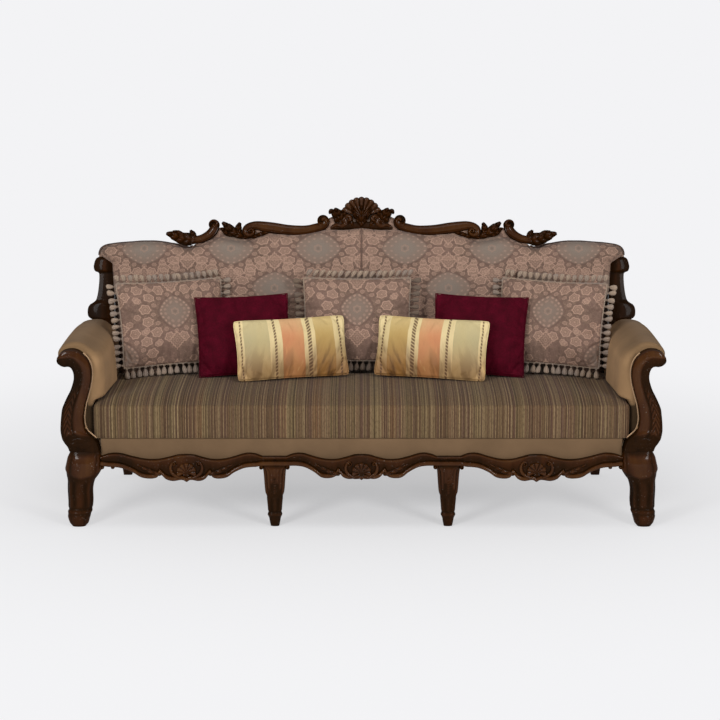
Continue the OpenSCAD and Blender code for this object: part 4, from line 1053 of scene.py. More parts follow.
def apron_bay(shape, shell_x, left, right, x0, x1, sink):
    """A waved board from x0 to x1, with edges read off two tables by the share of the way from its
    shell to the bay's left or right end. Up its face run a bead, a groove, a hollow and a fillet;
    the shell has a scroll and a leaf on each side. sink lowers the lower edge."""
    x = np.unique(np.concatenate([np.linspace(x0, x1, 260), shell_x + np.linspace(-0.4, 0.4, 60) * left]))
    x = x[(x >= x0) & (x <= x1)]
    q = np.where(x < shell_x, (shell_x - x) / left, (x - shell_x) / right)
    low = RAIL_Z + np.where(q <= 1, lookup(APRON_LOW, np.clip(q, 0, 1))[:, 0], 0) - sink(q)
    high = RAIL_Z + np.where(q <= 1, lookup(APRON_HIGH, np.clip(q, 0, 1))[:, 0], 34)
    v = np.linspace(0, 1, 40)[None]
    tall = (high - low)[:, None]
    d = v * tall
    bead = 6.5 * np.sqrt(np.clip(1 - ((d - 8.5) / 8.5) ** 2, 0, 1))
    groove = -2.0 * hump(d, 19, 1.8)
    hollow = 3.2 * ease(20, tall * 0.97, d) ** 1.5
    lip = 2.2 * hump(tall - d, 4, 3)
    out = bead + groove + hollow * ease(18, 26, d) + lip - 1.5 * ease(tall - 2, tall, d)
    level = np.clip(0.26 + out / 7.5, 0, 1)
    place = from_front(APRON_Y)
    carve(shape, place, np.broadcast_to(x[:, None], d.shape), low[:, None] + d, out, level, -APRON_T)
    scallop(shape, place, shell_x, RAIL_Z - 24, 36, 15, math.radians(118), 7, -4, 9, groove=0.6)
    for hand in (1, -1):
        carved_band(shape, place, [
            (shell_x + hand * 8, RAIL_Z - 46, 3, 6), (shell_x + hand * 30, RAIL_Z - 42, 6, 9),
            (shell_x + hand * 52, RAIL_Z - 26, 7, 10), (shell_x + hand * 58, RAIL_Z - 4, 6, 9),
            (shell_x + hand * 49, RAIL_Z + 14, 5, 8), (shell_x + hand * 38, RAIL_Z + 16, 3, 6),
        ], -4, 60)
        volute(shape, place, shell_x + hand * 44, RAIL_Z + 9, 9, -4, 11, 1.3, hand)
        run = right if hand > 0 else left
        end = shell_x + hand * 0.33 * run
        volute(shape, place, shell_x + hand * 0.985 * run, RAIL_Z - 5, 8, -8, 7, 1.2, hand)
        if shell_x and hand > 0:
            volute(shape, place, shell_x + 0.86 * run, RAIL_Z - 5, 7, -8, 7, 1.2, hand)
        carved_leaf(shape, place, [
            (end - hand * 12, RAIL_Z - 30, 7, 8), (end + hand * 14, RAIL_Z - 26, 9, 9),
            (end + hand * 44, RAIL_Z - 12, 8, 7), (end + hand * 78, RAIL_Z + 6, 3, 3),
        ], -4, 4, 60)


class SOFA_OT_apron(bpy.types.Operator):
    """The waved apron in three bays, with carved shells and scrolls"""

    bl_idname = "sofa.apron"
    bl_label = "Apron"

    def execute(self, context):
        inner, outer = MIDDLE_LEG_X - 44, MIDDLE_LEG_X + 44
        shell_x = outer + (LEG_IN - outer) * 0.47

        def outer_sink(q):
            """A little lower over the whole bay, but not at its ends."""
            return 4.5 * ease(1, 0.9, q)

        def centre_sink(q):
            """Lower half way to each end, and higher at the shell."""
            return 5 * hump(q, 0.55, 0.15) - 3 * ease(0.45, 0.15, q)

        bay, edge = Shape(), LEG_IN - GAP
        apron_bay(bay, shell_x, shell_x - outer, edge - shell_x, MIDDLE_LEG_X + GAP / 2, edge, outer_sink)
        carved_sides(bay, "{}_apron")
        bay, edge = Shape(), MIDDLE_LEG_X - GAP / 2
        apron_bay(bay, 0.0, inner, inner, -edge, edge, centre_sink)
        bay.build("centre_apron_carved", walnut(), "sofa_frame", "walnut", ["centre_apron"])
        return {"FINISHED"}


FACING_INNER = [
    (958, 287.3), (962, 310), (972, 330), (990, 346), (1004, 360), (1012, 380), (1015, 406), (1013, 429),
    (1008, 458), (1000, 486), (994, 506), (988, 529), (983, 557), (982, 584), (987, 610), (997, 631),
    (1013, 648), (1032, 660), (1053, 664), (1074, 661), (1091, 652), (1103, 637),
]
FACING_OUTER = [
    (1068, 287.3), (1074, 303), (1086, 320), (1094, 339), (1098, 363), (1097, 392), (1094, 420), (1090, 446),
    (1081, 469), (1070, 492), (1058, 515), (1050, 537), (1045, 557), (1045, 575), (1049, 590), (1056, 600),
    (1066, 603), (1076, 602), (1086, 604), (1095, 609), (1102, 616), (1105, 625),
]


class SOFA_OT_arm_facings(bpy.types.Operator):
    """The scrolled facing at the front of each arm, with a plait of scales carved down it"""

    bl_idname = "sofa.arm_facings"
    bl_label = "Arm facings"

    def execute(self, context):
        n = 210
        inner, outer = smooth(FACING_INNER, n), smooth(FACING_OUTER, n)
        s = np.linspace(0, 1, 41)[None]
        x = inner[:, :1] + (outer[:, :1] - inner[:, :1]) * s
        z = inner[:, 1:] + (outer[:, 1:] - inner[:, 1:]) * s
        u = np.linspace(0, 1, n)[:, None]
        a = 2 * s - 1
        head = ease(0.7, 0.84, u)
        bevel = 5.5 * arch(s, 0.27, 0.34) ** 0.8
        valley = -2.0 * hump(s, 0.5, 0.05)
        plane = 3.2 * arch(s, 0.74, 0.32)
        scales = np.abs(np.sin(np.pi * (17 * u + 1.3 * np.abs(s - 0.69) / 0.17))) ** 0.8
        plaited = ease(0.9, 0.84, s) * ease(0.5, 0.56, s) * ease(0.15, 0.19, u) * ease(0.64, 0.5, u)
        chain = 2.8 * scales * plaited
        ledge = 3.4 * hump(u, 0.135 + 0.05 * np.cos(np.pi * (s - 0.5)), 0.016)
        leaf = 3.0 * lobed((u - 0.02) / 0.11, (s - 0.5) / 0.36, 2)
        scroll = 5.0 * head * arch(s, 0.42, 0.5) * ease(1.0, 0.93, u)
        body = (bevel + valley + plane + chain) * (1 - 0.55 * head) + scroll + ledge + leaf
        out = body - 3.0 * (np.abs(a) > 0.985)
        out = out * ease(1.005, 0.985, u) + 1.0
        # Painted light on the inner bevel, and painted highlights on the ridges of the scales.
        level = 0.14 + 0.62 * ease(0.52, 0.34, s) * ease(0.12, 0.2, u) + (out - 4) / 22.0
        level = np.clip(level + (0.62 * scales - 0.12) * plaited, 0, 1)
        facing = carve(Shape(), from_front(FACING_FRONT), x, z, out, level, -FACING_T)
        carved_sides(facing, "{}_arm_facing")

        cord = Shape()
        line = smooth(FACING_INNER[2:-5], 180)
        along = heading(line)
        line = line + np.stack([-along[:, 1], along[:, 0]], -1) * 3.0
        path = np.insert(line, 1, FACING_BACK - 20.0, axis=1)
        tube(cord, path, context.scene.sofa_sizes.welt * 1000 * 0.8, (0, 1, 0), strands=2, twist=0.9)
        sides(cord, "{}_arm_welt", welt_cord(), "suede")
        return {"FINISHED"}


STILE_TOP = 236.3
STILE_X = HALF - 123
# The posts' outer edge: how far in from the sofa's end, and how far below the post's top
STILE_OUTER = [
    [66, 0], [54, 8], [47, 26], [45, 42], [50, 56], [64, 63], [67, 74], [66, 105], [61, 145], [54, 170],
    [42, 181], [31, 188], [23, 201], [21, 220], [25, 236], [40, 247], [68, 255], [77, 270],
]


class SOFA_OT_back_posts(bpy.types.Operator):
    """The carved post that shows at each end of the back"""

    bl_idname = "sofa.back_posts"
    bl_label = "Back posts"

    def execute(self, context):
        foot = CREST_S - RAIL_Z / COS - STILE_TOP
        outer = smooth([[HALF - inward, fall] for inward, fall in STILE_OUTER], 130)
        lower = np.stack([np.full(12, HALF - 77), np.linspace(264, foot, 13)[1:]], -1)
        outer = np.vstack([outer, lower])
        s = np.linspace(0, 1, 25)[None]
        a, fall = 2 * s - 1, outer[:, 1:]
        x = STILE_X + (outer[:, :1] - STILE_X) * s
        drop = STILE_TOP + np.broadcast_to(fall, x.shape)
        shown = ease(276, 258, fall)
        knob = ease(-4, 12, fall) * ease(64, 52, fall)
        block = ease(168, 184, fall) * ease(257, 240, fall)
        face = (1 - a**2) * (2.5 + 7 * knob + 6 * block)
        # A painted highlight runs down each post, strongest on the knob; it also adds gloss.
        shine = hump(a, -0.1, 0.2) * (0.4 + 0.6 * knob)
        level = np.clip(0.24 + 0.5 * shine - 0.3 * hump(fall, 63, 4), 0, 1)
        carved_sides(carve(Shape(), on_back, x, drop, face * shown, level, BOARD_BACK, 0.2), "{}_back_stile")
        return {"FINISHED"}


CREST_BACK, CREST_RISE = -14.0, 22.0


def band(shape, path, *settings, **more):
    """A scrolled band on the back's plane."""
    carved_band(shape, on_back, path, CREST_BACK, *settings, **more)


def leaves(shape, *paths):
    """Leaves on the back's plane: each is a count of lobes and a path."""
    for lobes, *path in paths:
        carved_leaf(shape, on_back, path, CREST_BACK, lobes)


def eye(shape, x, drop, radius, height, turns, hand):
    """A scroll's eye on the back's plane."""
    volute(shape, on_back, x, drop, radius, CREST_BACK, height, turns, hand)


class SOFA_OT_crest(bpy.types.Operator):
    """The carved crest: a shell, leafy sprays, scrolled rails, sprigs and outer scrolls"""

    bl_idname = "sofa.crest"
    bl_label = "Crest"

    def execute(self, context):
        shell, ribs = Shape(), context.scene.sofa_sizes.ribs
        scallop(shell, on_back, 0, 82, 82, 19, math.radians(74), ribs, CREST_BACK, CREST_RISE, -1)
        leaves(shell, (4, (0, 124, 3, 8), (0, 112, 12, 18), (0, 94, 15, 23), (0, 66, 13, 22), (0, 34, 5, 16)))
        for hand in (1, -1):
            leaves(shell, (3, (hand * 4, 112, 5, 14), (hand * 16, 92, 8, 18), (hand * 30, 66, 8, 20),
                           (hand * 38, 40, 3, 18)))
        shell.build("crest_shell_carved", walnut(), "sofa_frame", "walnut", ["crest_shell"])

        spray = Shape()
        band(spray, [
            (52, 96, 5, 24), (46, 90, 8, 23), (46, 81, 9, 22), (56, 78, 10, 20), (66, 88, 13, 19),
            (64, 106, 14, 18), (78, 116, 12, 17), (96, 112, 9, 14), (112, 118, 7, 12), (120, 126, 3, 9),
        ])
        eye(spray, 50, 90, 17, 25, 0.9, 1)
        foot = [(3, 113, 18, 8), (26, 115, 16, 11), (56, 119, 13, 14), (90, 122, 10, 13), (122, 127, 6, 9)]
        # The foot band gets a fainter painted highlight.
        band(spray, foot, 60, shine=0.4)
        leaves(
            spray,
            (4, (30, 122, 6, 12), (40, 108, 14, 16), (56, 100, 16, 18), (74, 100, 16, 18), (92, 96, 14, 16),
             (106, 88, 5, 12)),
            (4, (70, 110, 8, 16), (78, 92, 18, 22), (88, 72, 17, 23), (98, 56, 11, 20), (108, 48, 4, 14)),
            (3, (84, 104, 6, 14), (98, 84, 13, 20), (108, 66, 11, 20), (120, 56, 8, 19), (126, 66, 4, 12)),
            (3, (60, 92, 6, 16), (66, 74, 11, 22), (72, 60, 8, 20), (78, 52, 3, 12)),
        )
        carved_sides(spray, "{}_crest_spray")

        rail = Shape()
        band(rail, [
            (152, 97, 5, 25), (146, 92, 12, 24), (142, 98, 17, 23), (146, 109, 17, 22), (160, 118, 17.5, 21),
            (184, 125, 18, 20), (210, 131, 18.5, 20), (240, 134, 20, 20), (290, 132, 21, 21),
            (345, 124, 21.5, 22), (385, 118, 20, 22), (415, 114, 17, 22), (440, 118, 15, 23),
            (455, 130, 14, 24), (455, 145, 12, 24), (443, 152, 10.5, 25), (430, 148, 9, 26),
            (425, 138, 8, 26), (431, 130, 7, 27), (440, 131, 6, 27), (442, 138, 5, 27), (436, 141, 4, 28),
        ], 300)
        eye(rail, 151, 95, 23, 29, 0.9, -1)
        eye(rail, 434, 137, 11, 29, 1.1, 1)
        leaves(rail, (4, (436, 160, 5, 14), (416, 156, 9, 17), (396, 148, 9, 17), (372, 140, 7, 14),
                      (350, 134, 3, 10)))
        carved_sides(rail, "{}_crest_rail")

        sprig = Shape()
        leaves(
            sprig,
            (5, (436, 160, 5, 12), (462, 158, 10, 16), (490, 148, 16, 21), (514, 131, 18, 23),
             (533, 114, 12, 21), (548, 101, 4, 14)),
            (3, (478, 150, 7, 15), (484, 134, 13, 21), (484, 118, 11, 21), (478, 103, 4, 13)),
            (3, (504, 154, 6, 13), (526, 147, 10, 17), (542, 134, 8, 16), (552, 123, 3, 10)),
        )
        carved_sides(sprig, "{}_crest_sprig")

        scroll = Shape()
        band(scroll, [
            (580, 108, 8, 25), (577, 116, 15, 24), (580, 128, 18.5, 22), (590, 142, 18.5, 21),
            (606, 155, 17.5, 20), (630, 166, 16, 19), (660, 170, 14, 18), (690, 168, 11, 15), (716, 160, 6, 11),
        ], 120)
        eye(scroll, 580, 111, 21, 28, 0.9, 1)
        leaves(
            scroll,
            (5, (636, 172, 8, 14), (668, 168, 24, 20), (700, 166, 24, 22), (732, 155, 19, 20),
             (754, 148, 11, 18), (769, 146, 4, 12)),
            (3, (652, 164, 6, 14), (661, 151, 11, 19), (668, 141, 9, 18), (673, 132, 3, 12)),
            (3, (694, 160, 6, 14), (710, 148, 10, 19), (726, 140, 8, 19), (744, 137, 3, 13)),
        )
        carved_sides(scroll, "{}_crest_scroll")
        return {"FINISHED"}


# Upholstery

CUSHION_Y0 = 35.0
CUSHION_Y1 = BACK_Y + RAIL_TOP * SIN / COS - 75 / COS - 4
CUSHION_Z0 = RAIL_TOP + GAP
CUSHION_T = 132.0
SEAT_CROWN = 12.0


def loop_yz(y0, y1, z0, z1, front_low, front_high, back_high, back_low, n=132):
    """A rounded rectangle in side view, from its low front corner up, back and round: about n points
    spaced evenly, and those of its corners, none nearer than 0.4 to the last."""
    corners = (
        (y0 + front_low, z0 + front_low, front_low, 270), (y0 + front_high, z1 - front_high, front_high, 180),
        (y1 - back_high, z1 - back_high, back_high, 90), (y1 - back_low, z0 + back_low, back_low, 0),
    )
    ring = []
    for y, z, r, start in corners:
        a = np.radians(start - 11.25 * np.arange(9))
        ring.append(np.stack([y + r * np.cos(a), z + r * np.sin(a)], -1))
    ring = np.vstack([*ring, ring[0][:1]])
    run = run_along(ring)
    at = np.sort(np.concatenate([np.linspace(0, run[-1], n + 1)[:-1], run[:-1]]))
    at = at[np.concatenate([[True], np.diff(at) > 0.4])]
    return np.stack([np.interp(at, run, ring[:, i]) for i in range(2)], -1)


class SOFA_OT_seat(bpy.types.Operator):
    """The long striped seat cushion with its welt, and the padding on the front rail"""

    bl_idname = "sofa.seat"
    bl_label = "Seat"

    def execute(self, context):
        top = CUSHION_Z0 + CUSHION_T
        section = loop_yz(CUSHION_Y0, CUSHION_Y1, CUSHION_Z0, top, 9, 13, 16, 9)
        y, z = section.T[:, None]
        s = np.sin(np.linspace(-1, 1, 361) * np.pi / 2 * 0.985)[:, None]
        s = s / s.max()
        front_w, back_w, depth = HALF - 119, HALF - 148 - 4, CUSHION_Y1 - CUSHION_Y0
        x = s * (front_w + (back_w - front_w) * (y - CUSHION_Y0) / depth)
        near_end = (1 - np.abs(s)) * front_w
        corner, edge = (r * (1 - quarter(near_end / r)) for r in (22, 9))
        mid_y = (CUSHION_Y0 + CUSHION_Y1) / 2
        inward = np.minimum(np.minimum(y - CUSHION_Y0, CUSHION_Y1 - y), near_end)
        upper, lower = ease(CUSHION_Z0 + 0.5 * CUSHION_T, top - 4, z), ease(CUSHION_Z0 + 30, CUSHION_Z0, z)
        crown = SEAT_CROWN * (1 - (1 - np.clip((inward - 10) / 190, 0, 1)) ** 2)
        dimple = (ripple(x / 150, y / 110, 4) * 2.2 - 0.8) * ease(8, 60, inward)
        fall = edge + 9 * ease(CUSHION_Y0 + 110, CUSHION_Y0, y)
        bulge = np.sin(np.clip((z - CUSHION_Z0) / CUSHION_T, 0, 1) * np.pi)
        front = ease(CUSHION_Y0 + 20, CUSHION_Y0, y)
        puffs = ripple(x / 60, z / 90 + y * 0, 9) * 0.9 * front
        py = mid_y + (y - mid_y) * (1 - corner / (depth / 2)) - (3.0 + puffs) * bulge * front
        pz = z + (crown + dimple - fall) * upper + edge * lower
        cushion = Shape().grid(np.stack([x, py, pz], -1), ring=True, ends=True)
        seat = cushion.build("seat_cushion_cloth", seat_stripe(), "seat_cushion_body", "seat_stripe",
                             ["seat_cushion"], angle=60)

        seam = Shape()
        path = np.linspace(-1, 1, 400)[:, None] * [front_w - 6, 0, 0] + [0, CUSHION_Y0 + 2.2, CUSHION_Z0 + 3.4]
        tube(seam, path, 2.6, (0, 1, 0), strands=2, twist=1.2, relief=0.4)
        seam.build("seat_welt", seat_stripe(), "seat_cushion_body", "seat_stripe")

        rail = Shape()
        z0, z1, y0, y1 = RAIL_Z + 13, RAIL_TOP - 0.2, APRON_Y + APRON_T + GAP, FACING_BACK - 7
        y, z = loop_yz(y0, y1, z0, z1, 3, 6, 3, 3, 60).T[:, None]
        s = np.linspace(-1, 1, 221)[:, None]
        x = s * (LEG_IN - 2 * GAP)
        swell = 1.6 * np.sin(np.clip((z - z0) / (z1 - z0), 0, 1) * np.pi)
        pull = 0.5 * ripple(x / 90, z / 40, 12)
        py = y - ease(y0 + 6, y0, y) * (swell + pull) * ease(1, 0.996, np.abs(s))
        rail.grid(np.stack(np.broadcast_arrays(x, py, z), -1), ring=True, ends=True)
        pad = rail.build("front_rail_cloth", suede(), "sofa_frame", "suede", ["front_rail_pad"])
        return {"FINISHED"}


BOARD_X, ROLL_X = HALF - 100, HALF - 62
ARM_BACK, PANEL_BACK = 652.0, 640.0
INNER_FACE = [
    [-115, -148, 0], [-115, -148, 70], [-115, -148, 122], [-115, -148, 131], [-116, -148, 137],
    [-116, -148, 144], [-118, -148, 162], [-128, -148, 200],
    [-136, -148, 235], [-137, -146, 262], [-134, -140, 285], [-124, -130, 312], [-104, -110, 336],
]
PAD_DROP = [
    [57, 0], [200, 1], [300, 4], [380, 8], [450, 13], [520, 21], [580, 30], [640, 38], [720, 46], [760, 50],
]


def arm_section(y, inset):
    """Side of the arm as a closed line in (x, z) at a depth: up the inner face, out and over the
    roll, an ellipse that flattens as the arm drops, and down the board. inset draws it in."""
    taper = min(1.0, (y - FACING_BACK) / (CUSHION_Y1 - FACING_BACK))
    drop = float(np.interp(y, *np.array(PAD_DROP).T))
    z0 = RAIL_TOP + GAP
    stretch = (ARM_H - drop - z0 - 17.7) / 336
    face = np.array(INNER_FACE, float)
    height = face[:, 2]
    plump = np.sin(np.pi / 2 * np.clip((y - 56) / 64, 0, 1)) * ease(520, 350, y)
    plump = plump * ease(130, 143, height) * ease(345, 300, height) * (19 + 15 * ease(250, 160, height))
    inner = np.stack([HALF + face[:, 0] + (face[:, 1] - face[:, 0]) * taper - plump, z0 + height * stretch], -1)
    a = np.radians(np.arange(120, -76, -8))
    arc = np.stack([
        ROLL_X + 2 + np.where(np.cos(a) > 0, 68, 60) * np.cos(a) + 4 * ease(60, 120, np.degrees(a)),
        ARM_H - (drop + 94) / 2 + (47 - drop / 2) * np.sin(a),
    ], -1)
    shown = smooth(np.vstack([inner[:-1], (inner[-1:] + arc[:1]) / 2, arc[1:]]), 96)
    shown = shown + heading(shown)[:, ::-1] * [inset, -inset]
    hidden = np.array([[BOARD_X + 10, ARM_H - 86 - drop], [BOARD_X + 10, z0]])
    return np.vstack([shown, hidden])


class SOFA_OT_arms(bpy.types.Operator):
    """Suede arms: the inner face and roll in one pad, and the panel on the outside"""

    bl_idname = "sofa.arms"
    bl_label = "Arms"

    def execute(self, context):
        near = FACING_BACK + np.array([-0.15, 1.5, 4, 8, 13, 19, 26, 34, 41, 48, 55])
        stations = np.concatenate([near, np.linspace(104, ARM_BACK, 62)])
        inset = 15 * (1 - quarter((stations - FACING_BACK) / 20))
        rings = []
        for y, drawn in zip(stations, inset):
            line = arm_section(y, drawn)
            share = (y - FACING_BACK) / (ARM_BACK - FACING_BACK)
            reach = back_front(line[:, 1]) - 1.0
            depth = FACING_BACK + GAP + share * (reach - FACING_BACK - GAP)
            rings.append(np.stack([line[:, 0], np.where(y < 104, y, depth), line[:, 1]], -1))
        p = np.array(rings)
        body = ease(80, 200, p[..., 1]) * ease(705, 640, p[..., 1])
        slack = ripple(p[..., 2] / 55, p[..., 1] / 80, 21) * 1.3 * body
        p[..., 0] += slack * ease(640, 560, p[..., 2]) * (p[..., 0] < BOARD_X)
        # Painted light on the inner face below the roll and painted shade beside the cushion's front, kept in
        # the relief field that the suede reads.
        towards = ease(HALF - 92, HALF - 120, p[..., 0]) * ease(ARM_H - 15, ARM_H - 75, p[..., 2])
        shaded = ease(CUSHION_Z0 + 127, CUSHION_Z0 + 112, p[..., 2]) * ease(150, 90, p[..., 1])
        arm = Shape().grid(p, ring=True, ends=True, relief=(0.52 + 0.48 * towards) * (1 - shaded))
        for pad in sides(arm, "{}_arm_pad_cloth", arm_suede(), "suede", "{}_arm_pad", angle=50):
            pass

        panel = Shape()
        x0 = HALF - 115 + 40 + GAP
        top, rings = ARM_H - 93, []
        for y in np.concatenate([FACING_BACK + np.array([0.5, 2, 6]), np.linspace(70, PANEL_BACK, 50)]):
            low = LEG_TOP + 2 * GAP if y < 101 else RAIL_Z + 1
            z = np.linspace(low, top, 30)
            share = (y - FACING_BACK) / (PANEL_BACK - FACING_BACK)
            depth = FACING_BACK + share * (back_front(z) - 2 - FACING_BACK)
            edge = np.minimum(np.minimum(z - low, top - z), min(y - FACING_BACK, PANEL_BACK - y) + 0.5)
            front = np.stack([x0 + 6 + 8.5 * quarter(edge / 16), depth, z], -1)
            rear = np.stack([np.full(2, x0), depth[[-1, 0]], z[[-1, 0]]], -1)
            rings.append(np.vstack([front, rear]))
        panel.grid(np.array(rings), ring=True, ends=True)
        for cover in sides(panel, "{}_arm_panel_cloth", suede(), "suede", "{}_arm_outer_panel"):
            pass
        return {"FINISHED"}


BOARD_TOP = [
    [0, 52], [65, 58], [128, 85], [185, 112], [242, 128], [391, 118], [478, 131], [557, 122], [625, 160],
    [664, 194], [694, 202], [727, 190], [766, 181], [806, 176], [840, 175.5], [869, 176], [900, 178.5],
    [948, 182], [980, 186], [1003, 190], [1019, 197], [1029, 207], [1034, 221], [1034.5, 236],
]
PAD_LINE = [
    [0, 124], [60, 131], [110, 131], [140, 131], [203, 145], [267, 152], [340, 148], [400, 158], [450, 177],
    [500, 173], [560, 163], [600, 172], [650, 198], [694, 204], [727, 192], [766, 183], [806, 178], [869, 178],
    [948, 184], [990, 191], [1016, 202],
]
PAD_T = 75.0
PAD_LOW = 335 / COS
PAD_SIDE = [
    [0, HALF - 151], [694 / COS, HALF - 151], [754 / COS, HALF - 126], [CREST_S - 262, HALF - 120],
    [CREST_S - 236, HALF - 80], [CREST_S - 205, HALF - 64], [CREST_S, HALF - 64],
]


RAIL_T, RAIL_FACE, RAIL_END, RAIL_FOOT = 46.5, 1.2, 1034.8, 236.0


def pad_side(s):
    """Half the width of the back's pads, read off a table by the height up the slope."""
    return np.interp(s, *np.array(PAD_SIDE).T)


def pad_top(x):
    """Height up the slope of the pads' top edge, read off a table; it turns down past the ear."""
    return CREST_S - lookup(PAD_LINE, np.clip(x, 0, 1016))[..., 0] - 24 * ease(1006, 1036, x) ** 2


def rolled(d, r):
    """A stuffed edge, a fuller curve than a quarter round: 0 at the rim and 1 from r inwards."""
    return (1 - (1 - np.clip(d / r, 0, 1)) ** 2.3) ** (1 / 2.3)


class SOFA_OT_back(bpy.types.Operator):
    """The damask back: two pads, the covered top rail, the outside cover and their seams"""

    bl_idname = "sofa.back"
    bl_label = "Back"

    def execute(self, context):
        u, v = crowded(150)[None], crowded(84)[:, None]
        s = PAD_LOW + v * 560 * np.ones_like(u)
        for _ in range(6):
            x = GAP / 2 + u * (pad_side(s) - GAP / 2)
            s = PAD_LOW + v * (pad_top(x) - PAD_LOW)
        d_seam, d_side = x - GAP / 2, pad_side(s) - x
        d_top, d_low = pad_top(x) - s, s - PAD_LOW
        out = PAD_T * rolled(d_seam, 3) * (0.86 + 0.14 * rolled(d_seam, 16))
        out = out * rolled(d_side, 62) * rolled(d_top, 46) * rolled(d_low, 40)
        soft = rolled(d_seam, 90) * rolled(d_side, 150) * rolled(d_top, 110)
        out = GAP + out * (0.965 + 0.035 * soft) + (1.4 * ripple(x / 120, s / 90, 31) - 1.4) * soft
        front = on_back(x, CREST_S - s, out)
        rear = on_back(x, CREST_S - s, np.full(x.shape, GAP))
        weave = np.stack([x, CREST_S - s, 0 * x], -1) * 0.001
        pads = Shape().grid(front, cloth=weave).grid(rear, cloth=weave, flip=True)
        for pad in sides(pads, "{}_back_pad_cloth", damask(), "damask", "{}_back_pad", weld=True, angle=60):
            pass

        line = smooth(BOARD_TOP, 300)
        line = np.vstack([line[:0:-1] * [-1, 1], line])
        x, drop = line[:, 0], line[:, 1]
        a = np.linspace(0, np.pi, 17)
        straight, half = np.linspace(1, 0.02, 9), RAIL_T / 2
        share = np.concatenate([straight, np.zeros(17), straight[::-1]])
        f = np.concatenate([np.full(9, half), half * np.cos(a), np.full(9, -half)])
        lift = np.concatenate([np.zeros(9), 12 * np.sin(a) - 10, np.zeros(9)])
        d = drop[:, None] + share * (RAIL_FOOT - drop[:, None]) + 10 * (1 - share) - lift - 10
        d = np.where(share > 0.99, RAIL_FOOT, d)
        near_end = quarter((RAIL_END - np.abs(x)) / 12)[:, None]
        f = RAIL_FACE - half + f * (0.55 + 0.45 * near_end)
        weave = np.stack([np.broadcast_to(np.abs(x)[:, None], d.shape), d - f, 0 * d], -1) * 0.001
        cover = Shape().grid(on_back(x[:, None], d, f), ring=True, ends=True, cloth=weave)
        rail = cover.build("top_rail_cloth", damask(), "sofa_frame", "damask", ["back_top_rail"])

        outside = Shape()
        x, v = np.linspace(-1, 1, 161)[:, None], np.linspace(0, 1, 60)[None]
        end, low = np.abs(x), RAIL_Z / COS + 14
        top = CREST_S - lookup(BOARD_TOP, end[:, 0] * 1031)[:, :1] - 1
        s = low + v * (top - low)
        wider = (HALF - 69 - STILE_X + GAP) * (s > CREST_S - STILE_TOP)
        px = x * (STILE_X - GAP) + np.sign(x) * ease(0.9, 1, end) * wider
        inside = ease(0, 0.1, v) * ease(1, 0.9, v) * ease(1, 0.93, end)
        billow = 1.2 + 0.8 * ripple(px / 180, s / 160, 17) * inside
        face = on_back(px, CREST_S - s, BOARD_BACK - 0.8 - billow * 0.75)
        inner = on_back(px, CREST_S - s, BOARD_BACK - 0.4)
        outside.grid(inner).grid(face, flip=True)
        cloth = outside.build("back_cover_cloth", plain_mauve(), "sofa_frame", "back_cloth", ["back_cover"],
                              weld=True)

        seam = Shape()
        s = np.linspace(PAD_LOW + 6, CREST_S - 134, 220)
        tube(seam, on_back(0, CREST_S - s, 64.5), 2.4, (1, 0, 0), strands=2, twist=0.9)
        seam.build("back_seam_welt", plain_mauve(), "sofa_frame", "damask")

        piping = Shape()
        line = smooth(BOARD_TOP[9:], 150)
        line = line[line[:, 1] < 233]
        tube(piping, on_back(line[:, 0], line[:, 1] - 1.0, -6.0), 3.0, (0, 1, 0), relief=0.2)
        sides(piping, "{}_ear_welt", brown_cord(), "damask")
        return {"FINISHED"}


class SOFA_OT_underside(bpy.types.Operator):
    """The black cloth stretched under the seat"""

    bl_idname = "sofa.underside"
    bl_label = "Underside"

    def execute(self, context):
        low, high = (np.array(c) * 1000 + [0, DEPTH / 2, 0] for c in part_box("dust_cover"))
        u, v = np.linspace(0, 1, 81)[:, None], np.linspace(0, 1, 25)[None]
        x = low[0] + u * (high[0] - low[0]) + 0 * v
        y = low[1] + v * (high[1] - low[1]) + 0 * u
        across = np.sin(np.pi * v)
        sag = 4.0 * np.sin(np.pi * u) ** 0.5 * across**0.7 + 0.4 * ripple(x / 60, y / 60, 8) * across
        under, over = np.stack([x, y, low[2] - sag], -1), np.stack([x, y, high[2] - sag], -1)
        cloth = Shape().grid(over).grid(under, flip=True)
        piece = cloth.build("dust_cover_cloth", lining(), "sofa_frame", "lining", ["dust_cover"], weld=True)
        return {"FINISHED"}


# Pillows

# Where each lies: its middle in x, y and z, then its turn, lean and roll in degrees
CENTRE_POSE = (-17, 584.681, 666.051, 0, 16, 0)
SIDE_POSE = (728.783, 536.707, 664.045, -20, 18, 0)
VELVET_POSE = (453, 498.661, 622.414, -9, 21, -1)
STRIPED_POSE = (268, 426.48, 586.705, -12, 23, -1)
# Width, height and thickness, and the share by which the corners are rounded off
FRINGED_SIZE, VELVET_SIZE, STRIPED_SIZE = (420, 330, 110, 0.015), (362, 312, 85, 0.004), (436, 236, 85, 0.04)
DRAWN_IN = 0.045
# The blowing up: its frames, the farthest a point may move, the size of the remesh's cells in metres,
# how much cloth is added and how thin the pillow starts
FRAMES, CAP, VOXEL, SLACK, THIN = 20, 13.0, 0.005, 0.05, 0.86


def turned(x, y, degrees):
    """A point turned about the middle of its plane."""
    a = math.radians(degrees)
    return x * math.cos(a) - y * math.sin(a), x * math.sin(a) + y * math.cos(a)


def posed(p, pose):
    """A pillow's own plane to its place: roll it, lean it, turn it and set it down."""
    x, y, z, yaw, lean, roll = pose
    px, py = turned(p[..., 0], p[..., 1], roll)
    py, pz = turned(py, p[..., 2], 90 - lean)
    px, py = turned(px, py, yaw)
    return np.stack([px + x, py + y, pz + z], -1)


def facing_way(pose):
    """The direction that a pillow in this pose faces."""
    flat = posed(np.array([[0, 0, 0], [0, 0, 1.0]]), pose)
    return flat[1] - flat[0]


